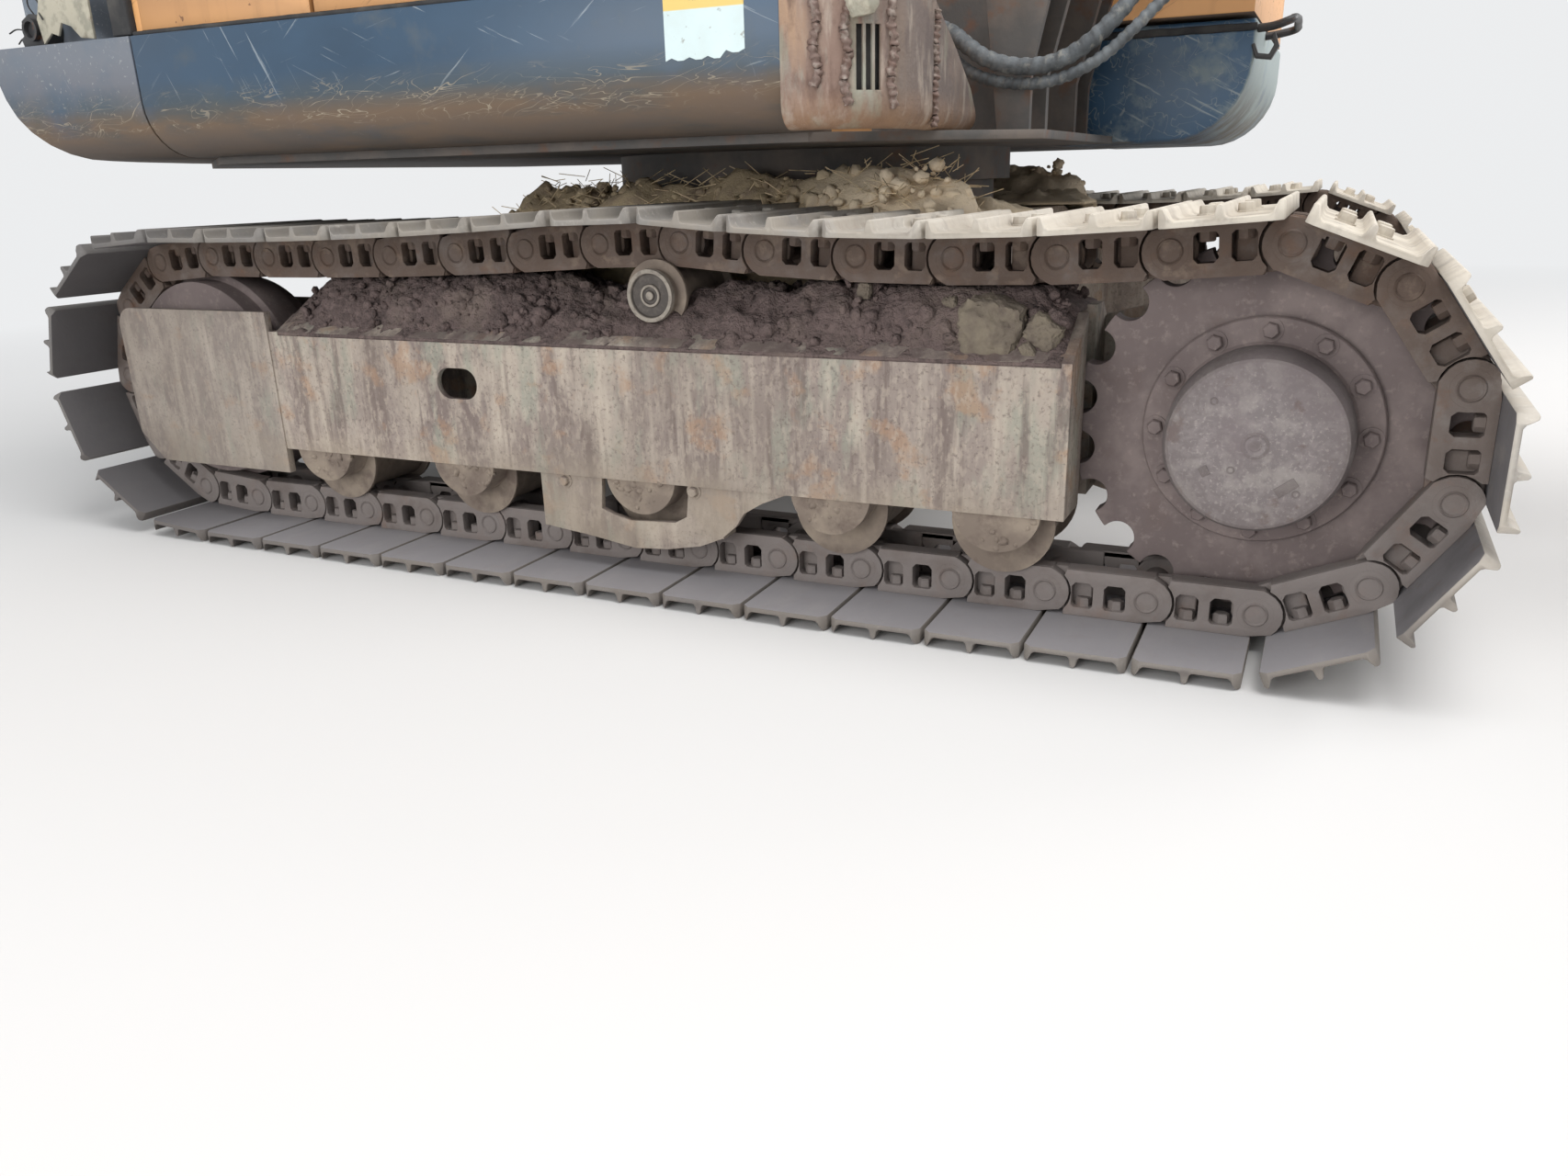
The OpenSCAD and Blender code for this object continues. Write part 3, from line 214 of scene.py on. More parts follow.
FACE_OUT = (bpy.ops.mesh.normals_make_consistent, {"inside": False})


def extrude(reach):
    """The step that extrudes a face by a vector."""
    return bpy.ops.mesh.extrude_region_move, {"TRANSFORM_OT_translate": {"value": reach}}


def finish_modifier(obj, kind, **settings):
    """Adds a modifier and applies it."""
    pick(obj)
    modifier = obj.modifiers.new(kind.title(), kind)
    for key, value in settings.items():
        setattr(modifier, key, value)
    bpy.ops.object.modifier_apply(modifier=modifier.name)
    return obj


def soften(obj, width, segments=2, angle=30):
    """Rounds the sharp edges and shades the rest smooth."""
    if width:
        finish_modifier(obj, "BEVEL", width=width, segments=segments, limit_method="ANGLE",
                        angle_limit=math.radians(angle), use_clamp_overlap=True, harden_normals=False)
    pick(obj)
    bpy.ops.object.shade_smooth_by_angle(angle=math.radians(angle))
    return obj


def smooth(obj):
    """Shades the whole object smooth."""
    pick(obj)
    bpy.ops.object.shade_smooth()
    return obj


LIFTS = {
    "XZ": lambda a, b, c: (a, c, b),
    "XY": lambda a, b, c: (a, b, c),
}


def prism(name, outline, start, end, plane="XZ"):
    """An outline drawn in a plane, extruded from start to end along the third axis."""
    lift = LIFTS[plane]
    face = new_object(name, [lift(a, b, start) for a, b in outline], [], [list(range(len(outline)))])
    return edit_mesh(face, extrude(lift(0, 0, end - start)), FACE_OUT)


def side_plate(name, outline, start, end):
    """A plate in the XZ plane, drawn in metres from the swing axis."""
    return prism(name, [(AXIS_X + x, z) for x, z in outline], start, end)


def block(name, low, high):
    """A box between two corners."""
    return prism(name, [(low[0], low[1]), (high[0], low[1]), (high[0], high[1]), (low[0], high[1])],
                 low[2], high[2], "XY")


def turned(name, steps, centre, axis="Y", sides=48):
    """A turned piece: (distance along the axis, radius) steps spun about the axis through centre."""
    along = AXES[axis] if isinstance(axis, str) else Vector(axis).normalized()
    side = along.orthogonal().normalized()
    centre = Vector(centre)
    verts = [centre + along * d + side * r for d, r in steps]
    wire = new_object(name, verts, [(i, i + 1) for i in range(len(steps) - 1)], [])
    spin = {"steps": sides, "angle": math.tau, "center": centre, "axis": along}
    merge = {"threshold": 1e-6}
    return edit_mesh(wire, (bpy.ops.mesh.spin, spin), (bpy.ops.mesh.remove_doubles, merge), FACE_OUT)


def rod(name, start, end, radius, sides=16):
    """A plain round bar between two points."""
    start = Vector(start)
    reach = Vector(end) - start
    return turned(name, [(0, 0), (0, radius), (reach.length, radius), (reach.length, 0)], start, reach, sides)


def bolt(name, seat, axis, size):
    """A hexagonal bolt head with its washer, standing on seat."""
    head = turned(name, [(0, 0), (0, size * 0.5), (size * 0.1, size * 0.56), (size * 0.5, size * 0.54),
                         (size * 0.6, size * 0.45), (size * 0.6, 0)], seat, axis, 6)
    washer = turned(name + "_washer", [(0, 0), (0, size * 0.78), (size * 0.1, size * 0.78), (size * 0.1, 0)],
                    seat, axis, 20)
    return join(name, [head, washer])


def arc(centre, radius, start, end, steps):
    """Points on an arc, angles in degrees."""
    turns = [math.radians(start + (end - start) * i / steps) for i in range(steps + 1)]
    return [(centre[0] + radius * math.cos(a), centre[1] + radius * math.sin(a)) for a in turns]


def join(name, objs):
    """Joins the objects into one named piece."""
    deselect()
    for obj in objs:
        obj.select_set(True)
    bpy.context.view_layer.objects.active = objs[0]
    if len(objs) > 1:
        bpy.ops.object.join()
    objs[0].name = name
    objs[0].data.name = name
    return objs[0]


def cut(obj, cutters):
    """Cuts the cutters out of obj and removes them."""
    for cutter in cutters:
        finish_modifier(obj, "BOOLEAN", operation="DIFFERENCE", object=cutter, solver="EXACT")
        drop(cutter)
    return obj


def moved_copy(obj, name, matrix):
    """A copy with its own mesh, whose place is in the mesh."""
    twin = obj.copy()
    twin.data = obj.data.copy()
    twin.name = name
    bpy.context.collection.objects.link(twin)
    twin.data.transform(matrix)
    if matrix.determinant() < 0:
        twin.data.flip_normals()
    return twin


def drop(obj):
    """Removes a helper object."""
    bpy.data.objects.remove(obj)


def tube(name, points, radius, sides=12, cyclic=False):
    """A smooth tube through points."""
    curve = bpy.data.curves.new(name, "CURVE")
    curve.dimensions = "3D"
    curve.bevel_depth = radius
    curve.bevel_resolution = max(1, sides // 4 - 1)
    curve.resolution_u = 8
    curve.use_fill_caps = True
    spline = curve.splines.new("BEZIER")
    spline.bezier_points.add(len(points) - 1)
    spline.use_cyclic_u = cyclic
    for knot, point in zip(spline.bezier_points, points):
        knot.co = point
        knot.handle_left_type = "AUTO"
        knot.handle_right_type = "AUTO"
    obj = bpy.data.objects.new(name, curve)
    bpy.context.collection.objects.link(obj)
    pick(obj)
    bpy.ops.object.convert(target="MESH")
    obj = bpy.context.view_layer.objects.active
    obj.name = name
    return smooth(obj)


def dress(obj, material, body, slot, *nodes):
    """Paints a finished piece, sets it on its body and hides the CAD nodes that it stands for."""
    if material is not None:
        obj.data.materials.clear()
        obj.data.materials.append(FINISHES[material])
    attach(obj, body)
    if nodes:
        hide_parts(*nodes)
    return obj


def dress_sides(obj, material, slot, right=(), left=()):
    """Dresses a piece of the right track and its mirrored twin, and hides the CAD nodes that each stands for.
    """
    twin = moved_copy(obj, obj.name.replace("right", "left"), MIRROR)
    dress(obj, material, "undercarriage", slot, *right)
    dress(twin, material, "undercarriage", slot, *left)


def softened(node, width, material, segments=2):
    """A merged copy of a CAD node with rounded edges, which stands for the node."""
    source = frame["nodes"][node].data
    obj = new_object(node + "_finish", [vert.co for vert in source.vertices], [],
                     [list(polygon.vertices) for polygon in source.polygons])
    edit_mesh(obj, (bpy.ops.mesh.remove_doubles, {"threshold": 2e-5}),
              (bpy.ops.mesh.dissolve_limited, {"angle_limit": math.radians(0.6)}))
    soften(obj, width, segments)
    return dress(obj, material, NODE_BODY[node], NODE_SLOT[node], node)


# Finishes


FINISHES = {}


class Finish:
    """A procedural material: a base coat, and layers of wear, dust and rust laid over it."""

    def __init__(self, name, base, roughness, metallic=0.0):
        self.material = bpy.data.materials.new("finish_" + name)
        FINISHES[name] = self.material
        self.material.use_nodes = True
        self.tree = self.material.node_tree
        self.shader = self.tree.nodes["Principled BSDF"]
        self.shader.inputs["Metallic"].default_value = metallic
        self.place = self.add("ShaderNodeTexCoord")
        self.height = None
        self.show((*base, 1.0), roughness)

    def add(self, kind, **settings):
        """A new node of the material."""
        node = self.tree.nodes.new(kind)
        for key, value in settings.items():
            setattr(node, key, value)
        return node

    def feed(self, socket, value):
        """Links a socket to another one, or sets its value."""
        if isinstance(value, bpy.types.NodeSocket):
            self.tree.links.new(value, socket)
        else:
            socket.default_value = value

    def show(self, base, roughness):
        """Gives the shader its colour and roughness."""
        self.base = base
        self.roughness = roughness
        self.feed(self.shader.inputs["Base Color"], base)
        self.feed(self.shader.inputs["Roughness"], roughness)

    def fade(self, value, low, high):
        """0 at low and 1 at high, or the other way where low is above high."""
        node = self.add("ShaderNodeMapRange", clamp=True)
        self.feed(node.inputs["Value"], value)
        node.inputs["From Min"].default_value = low
        node.inputs["From Max"].default_value = high
        return node.outputs["Result"]

    def spread(self, scale, detail=5.0, rough=0.6, stretch=(1, 1, 1), shift=0.0, lean=0.0, swirl=0.0):
        """Noise over the surface; a stretch under 1 draws it out along that axis, which leans by degrees."""
        place = self.add("ShaderNodeMapping", vector_type="TEXTURE")
        place.inputs["Location"].default_value = (shift, shift * 1.7, shift * 0.6)
        place.inputs["Rotation"].default_value = (0.0, math.radians(lean), 0.0)
        place.inputs["Scale"].default_value = [1 / part for part in stretch]
        self.tree.links.new(self.place.outputs["Object"], place.inputs["Vector"])
        node = self.add("ShaderNodeTexNoise")
        node.inputs["Scale"].default_value = scale
        node.inputs["Detail"].default_value = detail
        node.inputs["Roughness"].default_value = rough
        node.inputs["Distortion"].default_value = swirl
        self.tree.links.new(place.outputs["Vector"], node.inputs["Vector"])
        return node.outputs["Fac"]

    def lines(self, scale, width, **settings):
        """Thin winding lines, as of scratches and stuck straw."""
        node = self.add("ShaderNodeMath", operation="COMPARE")
        self.feed(node.inputs[0], self.spread(scale, **settings))
        node.inputs[1].default_value = 0.5
        node.inputs[2].default_value = width
        return node.outputs[0]

    def patches(self, scale, low, high, **settings):
        """Patches of noise, 0 at low and 1 at high."""
        return self.fade(self.spread(scale, **settings), low, high)

    def along(self, axis, low, high):
        """Fades along an axis of the machine, in metres from the swing axis."""
        start = AXIS_X if axis == "X" else 0.0
        node = self.add("ShaderNodeSeparateXYZ")
        self.tree.links.new(self.place.outputs["Object"], node.inputs["Vector"])
        return self.fade(node.outputs[axis], start + low, start + high)

    def facing(self, axis, low, high):
        """Fades with the direction that the surface faces."""
        node = self.add("ShaderNodeSeparateXYZ")
        self.tree.links.new(self.place.outputs["Normal"], node.inputs["Vector"])
        return self.fade(node.outputs[axis], low, high)

    def edges(self, low, high):
        """1 on sharp outer edges."""
        return self.fade(self.add("ShaderNodeNewGeometry").outputs["Pointiness"], low, high)

    def both(self, a, b):
        """1 where both masks are 1."""
        node = self.add("ShaderNodeMath", operation="MULTIPLY", use_clamp=True)
        self.feed(node.inputs[0], a)
        self.feed(node.inputs[1], b)
        return node.outputs[0]

    def coat(self, mask, tint, amount=1.0, roughness=None):
        """Lays a colour over what is there, where the mask is 1."""
        mask = self.both(mask, amount)
        layer = self.add("ShaderNodeMix", data_type="RGBA")
        self.feed(layer.inputs[0], mask)
        self.feed(layer.inputs[6], self.base)
        self.feed(layer.inputs[7], (*tint, 1.0))
        gloss = self.roughness
        if roughness is not None:
            blend = self.add("ShaderNodeMix", data_type="FLOAT")
            self.feed(blend.inputs[0], mask)
            self.feed(blend.inputs[2], gloss)
            self.feed(blend.inputs[3], roughness)
            gloss = blend.outputs[0]
        self.show(layer.outputs[2], gloss)

    def relief(self, value, distance, strength=0.5):
        """Adds a bump of that height in metres."""
        node = self.add("ShaderNodeBump")
        node.inputs["Strength"].default_value = strength
        node.inputs["Distance"].default_value = distance
        self.feed(node.inputs["Height"], value)
        if self.height is not None:
            self.tree.links.new(self.height, node.inputs["Normal"])
        self.height = node.outputs["Normal"]
        self.tree.links.new(self.height, self.shader.inputs["Normal"])


def shade(tint, factor):
    """A lighter or darker shade of a colour."""
    return tuple(min(1.0, part * factor) for part in tint)


def finish_frame_dust(colours):
    """Dry dust on the track frames, with runs, stains and pale soil, and mud on what faces up."""
    f = Finish("frame_dust", colours.frame_dust, 0.85)
    f.coat(f.patches(2.6, 0.44, 0.60, stretch=(1, 1, 0.45)), (0.155, 0.118, 0.108), 0.75)
    f.coat(f.patches(9, 0.49, 0.58, stretch=(1, 1, 0.5), shift=6), (0.42, 0.36, 0.30), 0.75)
    f.coat(f.patches(13, 0.52, 0.60, stretch=(1, 1, 0.35), shift=16), (0.30, 0.31, 0.25), 0.6)
    f.coat(f.patches(26, 0.5, 0.66, stretch=(1, 1, 0.12), shift=3), (0.52, 0.45, 0.37), 0.7)
    f.coat(f.patches(38, 0.52, 0.64, stretch=(1, 1, 0.08), shift=8), (0.135, 0.10, 0.09), 0.7)
    f.coat(f.patches(12, 0.56, 0.64, shift=5), (0.36, 0.22, 0.135), 0.6)
    f.coat(f.patches(90, 0.50, 0.62, stretch=(1, 1, 0.5), shift=19), (0.46, 0.39, 0.32), 0.45)
    f.coat(f.patches(170, 0.54, 0.68, shift=1), (0.12, 0.09, 0.08), 0.6)
    f.coat(f.both(f.along("Z", 0.24, 0.19), f.patches(12, 0.35, 0.6, shift=9)), (0.36, 0.30, 0.23), 0.6)
    f.coat(f.both(f.facing("Z", 0.2, 0.8), f.patches(14, 0.35, 0.6, shift=2)), colours.mud, 0.85)
    f.coat(f.along("X", -0.75, -0.79), (0.215, 0.19, 0.165), 0.45)
    f.coat(f.patches(3, 0.42, 0.65, shift=28), (0.20, 0.165, 0.135), 0.5)
    f.relief(f.spread(180, detail=4), 0.0012, 0.7)
    f.relief(f.spread(25, detail=3), 0.002, 0.5)


def finish_cap_steel():
    """Dark steel of the carrier rollers' caps, worn bright at the edges."""
    f = Finish("cap_steel", (0.062, 0.052, 0.045), 0.7)
    f.coat(f.edges(0.508, 0.53), (0.34, 0.30, 0.25), 0.8)
    f.coat(f.patches(90, 0.5, 0.64), (0.125, 0.105, 0.09), 0.6)


def finish_mud(colours):
    """Caked soil with pale crumbs."""
    f = Finish("mud", colours.mud, 0.95)
    f.coat(f.along("X", -0.05, 0.35), shade(colours.mud, 1.3), 0.9)
    f.coat(f.patches(24, 0.46, 0.66), shade(colours.mud, 0.55), 0.7)
    f.coat(f.patches(60, 0.52, 0.68, shift=4), shade(colours.mud, 1.6), 0.75)
    f.coat(f.patches(7, 0.50, 0.64, shift=7), (0.20, 0.155, 0.13), 0.6)
    f.coat(f.patches(60, 0.50, 0.62, shift=31), shade(colours.mud, 1.6), 0.6)
    f.relief(f.spread(120, detail=6), 0.006, 0.9)
    f.relief(f.spread(48, detail=4), 0.016, 0.9)


def finish_pale_soil(colours):
    """Dry soil full of straw, painted lighter overall against the house's shadow, with painted sunlight at
    the front end of the heap.
    """
    # partly painted light: the base is made lighter than the soil to make up for the shadow of the house
    f = Finish("pale_soil", shade(colours.straw, 1.05), 0.95)
    f.coat(f.patches(30, 0.45, 0.7), shade(colours.mud, 1.3), 0.7)
    # painted sunlight: the front end of the heap is bright straw, as if the sun fell on it
    f.coat(f.both(f.along("X", 0.18, 0.34), f.along("Z", 0.58, 0.66)), (0.95, 0.80, 0.60), 0.95)
    f.coat(f.patches(8, 0.5, 0.7, shift=4), colours.straw, 0.6)
    f.relief(f.spread(150, detail=6), 0.003, 0.9)


def finish_yellow_soil():
    """Yellowish soil of the loose lumps."""
    f = Finish("yellow_soil", (0.155, 0.127, 0.098), 0.95)
    f.coat(f.patches(22, 0.45, 0.6), (0.22, 0.185, 0.135), 0.7)
    f.coat(f.patches(40, 0.52, 0.66, shift=4), (0.11, 0.085, 0.07), 0.7)
    f.relief(f.spread(130, detail=6), 0.003, 0.9)


def finish_dry_grass(colours):
    """Stems of dry grass."""
    f = Finish("dry_grass", shade(colours.straw, 1.7), 0.8)
    f.coat(f.patches(40, 0.45, 0.6), shade(colours.straw, 0.5), 0.7)


def finish_sprocket_rust():
    """Dusty rust of the sprockets, idlers and hubs."""
    f = Finish("sprocket_rust", (0.146, 0.114, 0.109), 0.8)
    f.coat(f.patches(4, 0.42, 0.66), (0.195, 0.155, 0.148), 0.8)
    f.coat(f.patches(11, 0.50, 0.66, shift=17), (0.26, 0.21, 0.195), 0.5)
    f.coat(f.patches(12, 0.55, 0.7, shift=6), (0.13, 0.092, 0.080), 0.5)
    f.coat(f.patches(90, 0.56, 0.70, shift=2), (0.29, 0.235, 0.215), 0.5)
    f.relief(f.spread(220, detail=4), 0.0008, 0.5)


def finish_drive_cover():
    """Speckled paint of the drive covers."""
    f = Finish("drive_cover", (0.175, 0.150, 0.148), 0.75)
    f.coat(f.patches(75, 0.47, 0.60), (0.235, 0.205, 0.20), 0.75)
    f.coat(f.patches(190, 0.55, 0.64, shift=3), (0.36, 0.32, 0.30), 0.55)
    f.coat(f.patches(26, 0.52, 0.62, shift=23), (0.30, 0.27, 0.25), 0.6)
    f.coat(f.edges(0.506, 0.53), (0.10, 0.08, 0.075), 0.6)
    f.coat(f.patches(9, 0.48, 0.66, shift=5), (0.16, 0.13, 0.132), 0.65)
    f.coat(f.patches(28, 0.61, 0.68, shift=9), (0.12, 0.085, 0.075), 0.6)
    f.relief(f.spread(150, detail=5), 0.001, 0.7)


def finish_chain():
    """Rails of the chain: brown rust on the upper run, grey dust on the lower one."""
    f = Finish("chain", (0.120, 0.092, 0.078), 0.8)
    f.coat(f.patches(9, 0.42, 0.62), (0.16, 0.13, 0.115), 0.8)
    f.coat(f.patches(35, 0.5, 0.68, shift=4), (0.21, 0.185, 0.17), 0.6)
    f.coat(f.patches(20, 0.54, 0.68, shift=2), (0.16, 0.078, 0.042), 0.7)
    f.coat(f.both(f.along("Z", 0.40, 0.52), f.patches(12, 0.25, 0.5, shift=6)), (0.088, 0.055, 0.038), 0.7)
    f.coat(f.both(f.along("Z", 0.40, 0.52), f.patches(34, 0.55, 0.66, shift=12)), (0.19, 0.14, 0.105), 0.6)
    f.coat(f.both(f.along("Z", 0.34, 0.16), f.patches(9, 0.25, 0.5, shift=15)), (0.205, 0.18, 0.17), 0.75)
    f.relief(f.spread(160, detail=5), 0.0012, 0.7)


def finish_shoe_inner(colours):
    """Worn bare steel on the inner faces of the shoes, dark at the tail."""
    f = Finish("shoe_inner", colours.steel, 0.62)
    f.coat(f.patches(7, 0.42, 0.65), shade(colours.steel, 0.62), 0.8)
    f.coat(f.patches(20, 0.52, 0.7, stretch=(1, 0.3, 1), shift=3), (0.27, 0.245, 0.225), 0.7)
    f.coat(f.patches(26, 0.58, 0.7, shift=5), (0.13, 0.085, 0.06), 0.5)
    f.coat(f.along("Z", 0.12, 0.06), (0.30, 0.285, 0.295), 0.75)
    f.coat(f.along("X", -0.85, -1.15), (0.095, 0.09, 0.092), 0.85)
    f.relief(f.spread(120, detail=4), 0.0007, 0.5)


def finish_shoe_outer():
    """Dusty outer faces of the shoes, with painted sunlight on top at the front, painted shade on top behind
    it, and dark at the tail.
    """
    f = Finish("shoe_outer", (0.25, 0.235, 0.22), 0.8)
    f.coat(f.patches(6, 0.42, 0.62), (0.36, 0.33, 0.29), 0.8)
    # painted sunlight: the upper run is pale cream at the front, where the sun falls
    f.coat(f.both(f.along("X", 0.30, 0.85), f.along("Z", 0.35, 0.55)), (0.60, 0.545, 0.455), 0.85)
    f.coat(f.patches(24, 0.52, 0.66, shift=3), (0.17, 0.145, 0.13), 0.6)
    f.coat(f.patches(70, 0.58, 0.7, shift=7), (0.60, 0.56, 0.49), 0.5)
    f.coat(f.patches(13, 0.44, 0.56, shift=13), (0.33, 0.285, 0.23), 0.55)
    # painted highlight: edges at the front are lighter where the sun catches them
    f.coat(f.both(f.along("X", 0.35, 0.7), f.edges(0.52, 0.56)), (0.62, 0.57, 0.50), 0.4)
    # painted shade: the top of the upper run turns darker further back, under the house
    f.coat(f.both(f.along("X", 0.45, 0.15), f.along("Z", 0.5, 0.6)), (0.20, 0.185, 0.165), 0.45)
    f.coat(f.along("X", -0.5, -1.1), (0.105, 0.10, 0.10), 0.8)
    f.coat(f.along("Z", 0.25, 0.12), (0.10, 0.085, 0.078), 0.7)
    f.relief(f.spread(150, detail=5), 0.0012, 0.7)


def finish_roller_dust():
    """Soil on the rollers."""
    f = Finish("roller_dust", (0.19, 0.15, 0.12), 0.85)
    f.coat(f.patches(14, 0.44, 0.64), (0.30, 0.245, 0.19), 0.8)
    f.coat(f.patches(24, 0.52, 0.68, shift=5), (0.12, 0.088, 0.072), 0.75)
    f.relief(f.spread(180, detail=5), 0.001, 0.6)


def finish_slate_paint(colours):
    """Slate paint of the band: scratched, with broad painted sheen, grey at the tail with a painted sky
    reflection, rusty and full of straw along its foot.
    """
    f = Finish("slate_paint", colours.slate, 0.36)
    # partly painted sheen: broad lighter patches stand for the satin sheen and sky reflections, besides
    # uneven paint
    f.coat(f.patches(3, 0.4, 0.7, stretch=(1, 1, 2)), shade(colours.slate, 1.4), 0.7, 0.45)
    f.coat(f.patches(9, 0.56, 0.70, shift=14), (0.085, 0.095, 0.095), 0.5, 0.6)
    for lean, shift in ((-38, 2), (24, 9), (-12, 15), (62, 21)):
        scratch = f.patches(150, 0.665, 0.69, stretch=(0.03, 1, 1), shift=shift, lean=lean)
        f.coat(f.both(scratch, f.patches(4, 0.46, 0.54, shift=shift + 1)), (0.30, 0.34, 0.37), 0.6, 0.6)
    tail = f.along("X", -0.945, -0.953)
    f.coat(f.both(tail, f.patches(5, 0.40, 0.56, shift=31)), (0.135, 0.118, 0.125), 0.7, 0.6)
    # painted reflection: the upper counterweight is lighter and bluer where it mirrors the sky
    f.coat(f.both(tail, f.along("Z", 0.80, 0.92)), (0.17, 0.195, 0.225), 0.6, 0.5)
    f.coat(f.both(tail, f.patches(130, 0.62, 0.68, shift=33)), (0.38, 0.38, 0.36), 0.5, 0.6)
    f.coat(f.both(f.along("Z", 0.875, 0.815), f.patches(10, 0.25, 0.5, shift=4)),
           (0.066, 0.072, 0.062), 0.75, 0.7)
    f.coat(f.both(f.along("Z", 0.835, 0.800), f.patches(14, 0.30, 0.5, stretch=(0.25, 1, 1), shift=5)),
           (0.185, 0.118, 0.070), 0.8, 0.85)
    f.coat(f.both(f.along("Z", 0.805, 0.770), f.patches(9, 0.25, 0.55, stretch=(0.4, 1, 1), shift=6)),
           (0.115, 0.094, 0.080), 0.8, 0.85)
    for shift, lean in ((8, 0), (17, -16)):
        straw_lines = f.lines(40, 0.0055, detail=2, stretch=(0.2, 1, 1), shift=shift, lean=lean, swirl=0.8)
        zone = f.both(f.both(f.along("Z", 0.865, 0.830), f.along("Z", 0.780, 0.800)),
                      f.patches(8, 0.42, 0.56, shift=shift + 3))
        f.coat(f.both(straw_lines, zone), (0.34, 0.29, 0.215), 0.75, 0.8)
    f.relief(f.spread(6, detail=2), 0.004, 0.25)


def finish_cab_base_paint(colours):
    """Faded and scratched slate paint under the cab."""
    f = Finish("cab_base_paint", shade(colours.slate, 1.7), 0.4)
    f.coat(f.patches(4, 0.42, 0.66, shift=3), shade(colours.slate, 2.4), 0.7)
    f.coat(f.patches(13, 0.53, 0.66, shift=8), (0.26, 0.31, 0.31), 0.65, 0.7)
    f.coat(f.patches(120, 0.60, 0.66, stretch=(0.05, 1, 1), shift=5, lean=28), (0.42, 0.47, 0.46), 0.6, 0.6)
    f.coat(f.lines(20, 0.006, detail=2, shift=11, swirl=0.6), (0.33, 0.36, 0.35), 0.5, 0.7)
    f.coat(f.both(f.facing("X", 0.15, 0.8), f.patches(6, 0.2, 0.45, shift=7)), (0.36, 0.41, 0.39), 0.8, 0.8)
    f.coat(f.both(f.facing("Z", -0.2, -0.8), f.patches(12, 0.35, 0.6, shift=2)),
           (0.13, 0.105, 0.085), 0.8, 0.85)
    f.relief(f.spread(5, detail=2), 0.003, 0.25)


def finish_deck_grime(colours):
    """Oily grime of the floor, the engine and the swing bearing."""
    f = Finish("deck_grime", (0.075, 0.07, 0.066), 0.7)
    f.coat(f.patches(8, 0.45, 0.65), (0.16, 0.13, 0.11), 0.7, 0.85)
    f.coat(f.patches(20, 0.55, 0.7, shift=4), shade(colours.rust, 0.8), 0.6, 0.85)
    f.coat(f.both(f.facing("Z", 0.3, 0.9), f.patches(9, 0.3, 0.6, shift=6)), (0.24, 0.20, 0.165), 0.7, 0.9)
    f.relief(f.spread(90, detail=4), 0.001, 0.5)


def finish_corner_rust():
    """Rusty sheet of the front corner with what is left of its paint."""
    f = Finish("corner_rust", (0.34, 0.26, 0.20), 0.75)
    f.coat(f.patches(6, 0.42, 0.6, stretch=(1, 1, 0.25)), (0.20, 0.125, 0.10), 0.8)
    f.coat(f.patches(12, 0.52, 0.64, stretch=(1, 1, 0.2), shift=3), (0.42, 0.27, 0.16), 0.7)
    f.coat(f.patches(16, 0.56, 0.66, stretch=(1, 1, 0.3), shift=6), (0.31, 0.35, 0.30), 0.6)
    f.coat(f.patches(20, 0.58, 0.68, stretch=(1, 1, 0.15), shift=11), (0.52, 0.46, 0.40), 0.5)
    f.coat(f.patches(34, 0.55, 0.68, stretch=(1, 1, 0.4), shift=8), (0.11, 0.062, 0.048), 0.7)
    f.coat(f.both(f.facing("X", 0.6, 0.95), f.patches(7, 0.2, 0.5, shift=13)), (0.105, 0.088, 0.085), 0.8)
    f.coat(f.both(f.along("Z", 0.80, 0.755), f.patches(9, 0.25, 0.5, shift=15)), (0.27, 0.155, 0.085), 0.7)
    f.coat(f.patches(40, 0.54, 0.66, stretch=(1, 1, 0.25), shift=21), (0.42, 0.36, 0.30), 0.45)
    f.coat(f.patches(14, 0.54, 0.62, stretch=(1, 1, 0.3), shift=25), (0.28, 0.29, 0.22), 0.5)
    f.relief(f.spread(90, detail=6), 0.0022, 0.9)
    f.relief(f.spread(14, detail=3, stretch=(1, 1, 0.4)), 0.004, 0.6)


def finish_weld():
    """Old weld beads."""
    f = Finish("weld", (0.17, 0.115, 0.095), 0.7)
    f.coat(f.patches(60, 0.48, 0.62), (0.34, 0.29, 0.25), 0.7)
    f.coat(f.patches(25, 0.5, 0.66, shift=4), (0.115, 0.062, 0.045), 0.7)
    f.relief(f.spread(300, detail=4), 0.001, 0.8)


def finish_orange_paint(colours):
    """Faded orange paint with runs, chips, scratches and dust, and painted shade on faces that point down."""
    f = Finish("orange_paint", colours.orange, 0.42)
    f.coat(f.patches(2.5, 0.4, 0.68), shade(colours.orange, 1.18), 0.6, 0.5)
    f.coat(f.patches(26, 0.54, 0.75, stretch=(1, 1, 0.1), shift=3), shade(colours.orange, 0.62), 0.4, 0.6)
    f.coat(f.patches(38, 0.66, 0.69, shift=5), colours.rust, 0.85, 0.85)
    f.coat(f.edges(0.54, 0.60), (0.16, 0.10, 0.075), 0.5, 0.8)
    # painted shade: faces that point down are dark, as shade under the covers
    f.coat(f.facing("Z", -0.6, -0.9), (0.10, 0.085, 0.075), 0.9, 0.85)
    f.coat(f.patches(90, 0.63, 0.66, stretch=(0.06, 1, 1), shift=12, lean=-30),
           shade(colours.orange, 0.45), 0.6, 0.7)
    f.coat(f.both(f.facing("Z", 0.4, 0.9), f.patches(5, 0.35, 0.6, shift=6)), (0.40, 0.33, 0.25), 0.6, 0.9)
    f.relief(f.spread(5, detail=2), 0.003, 0.2)


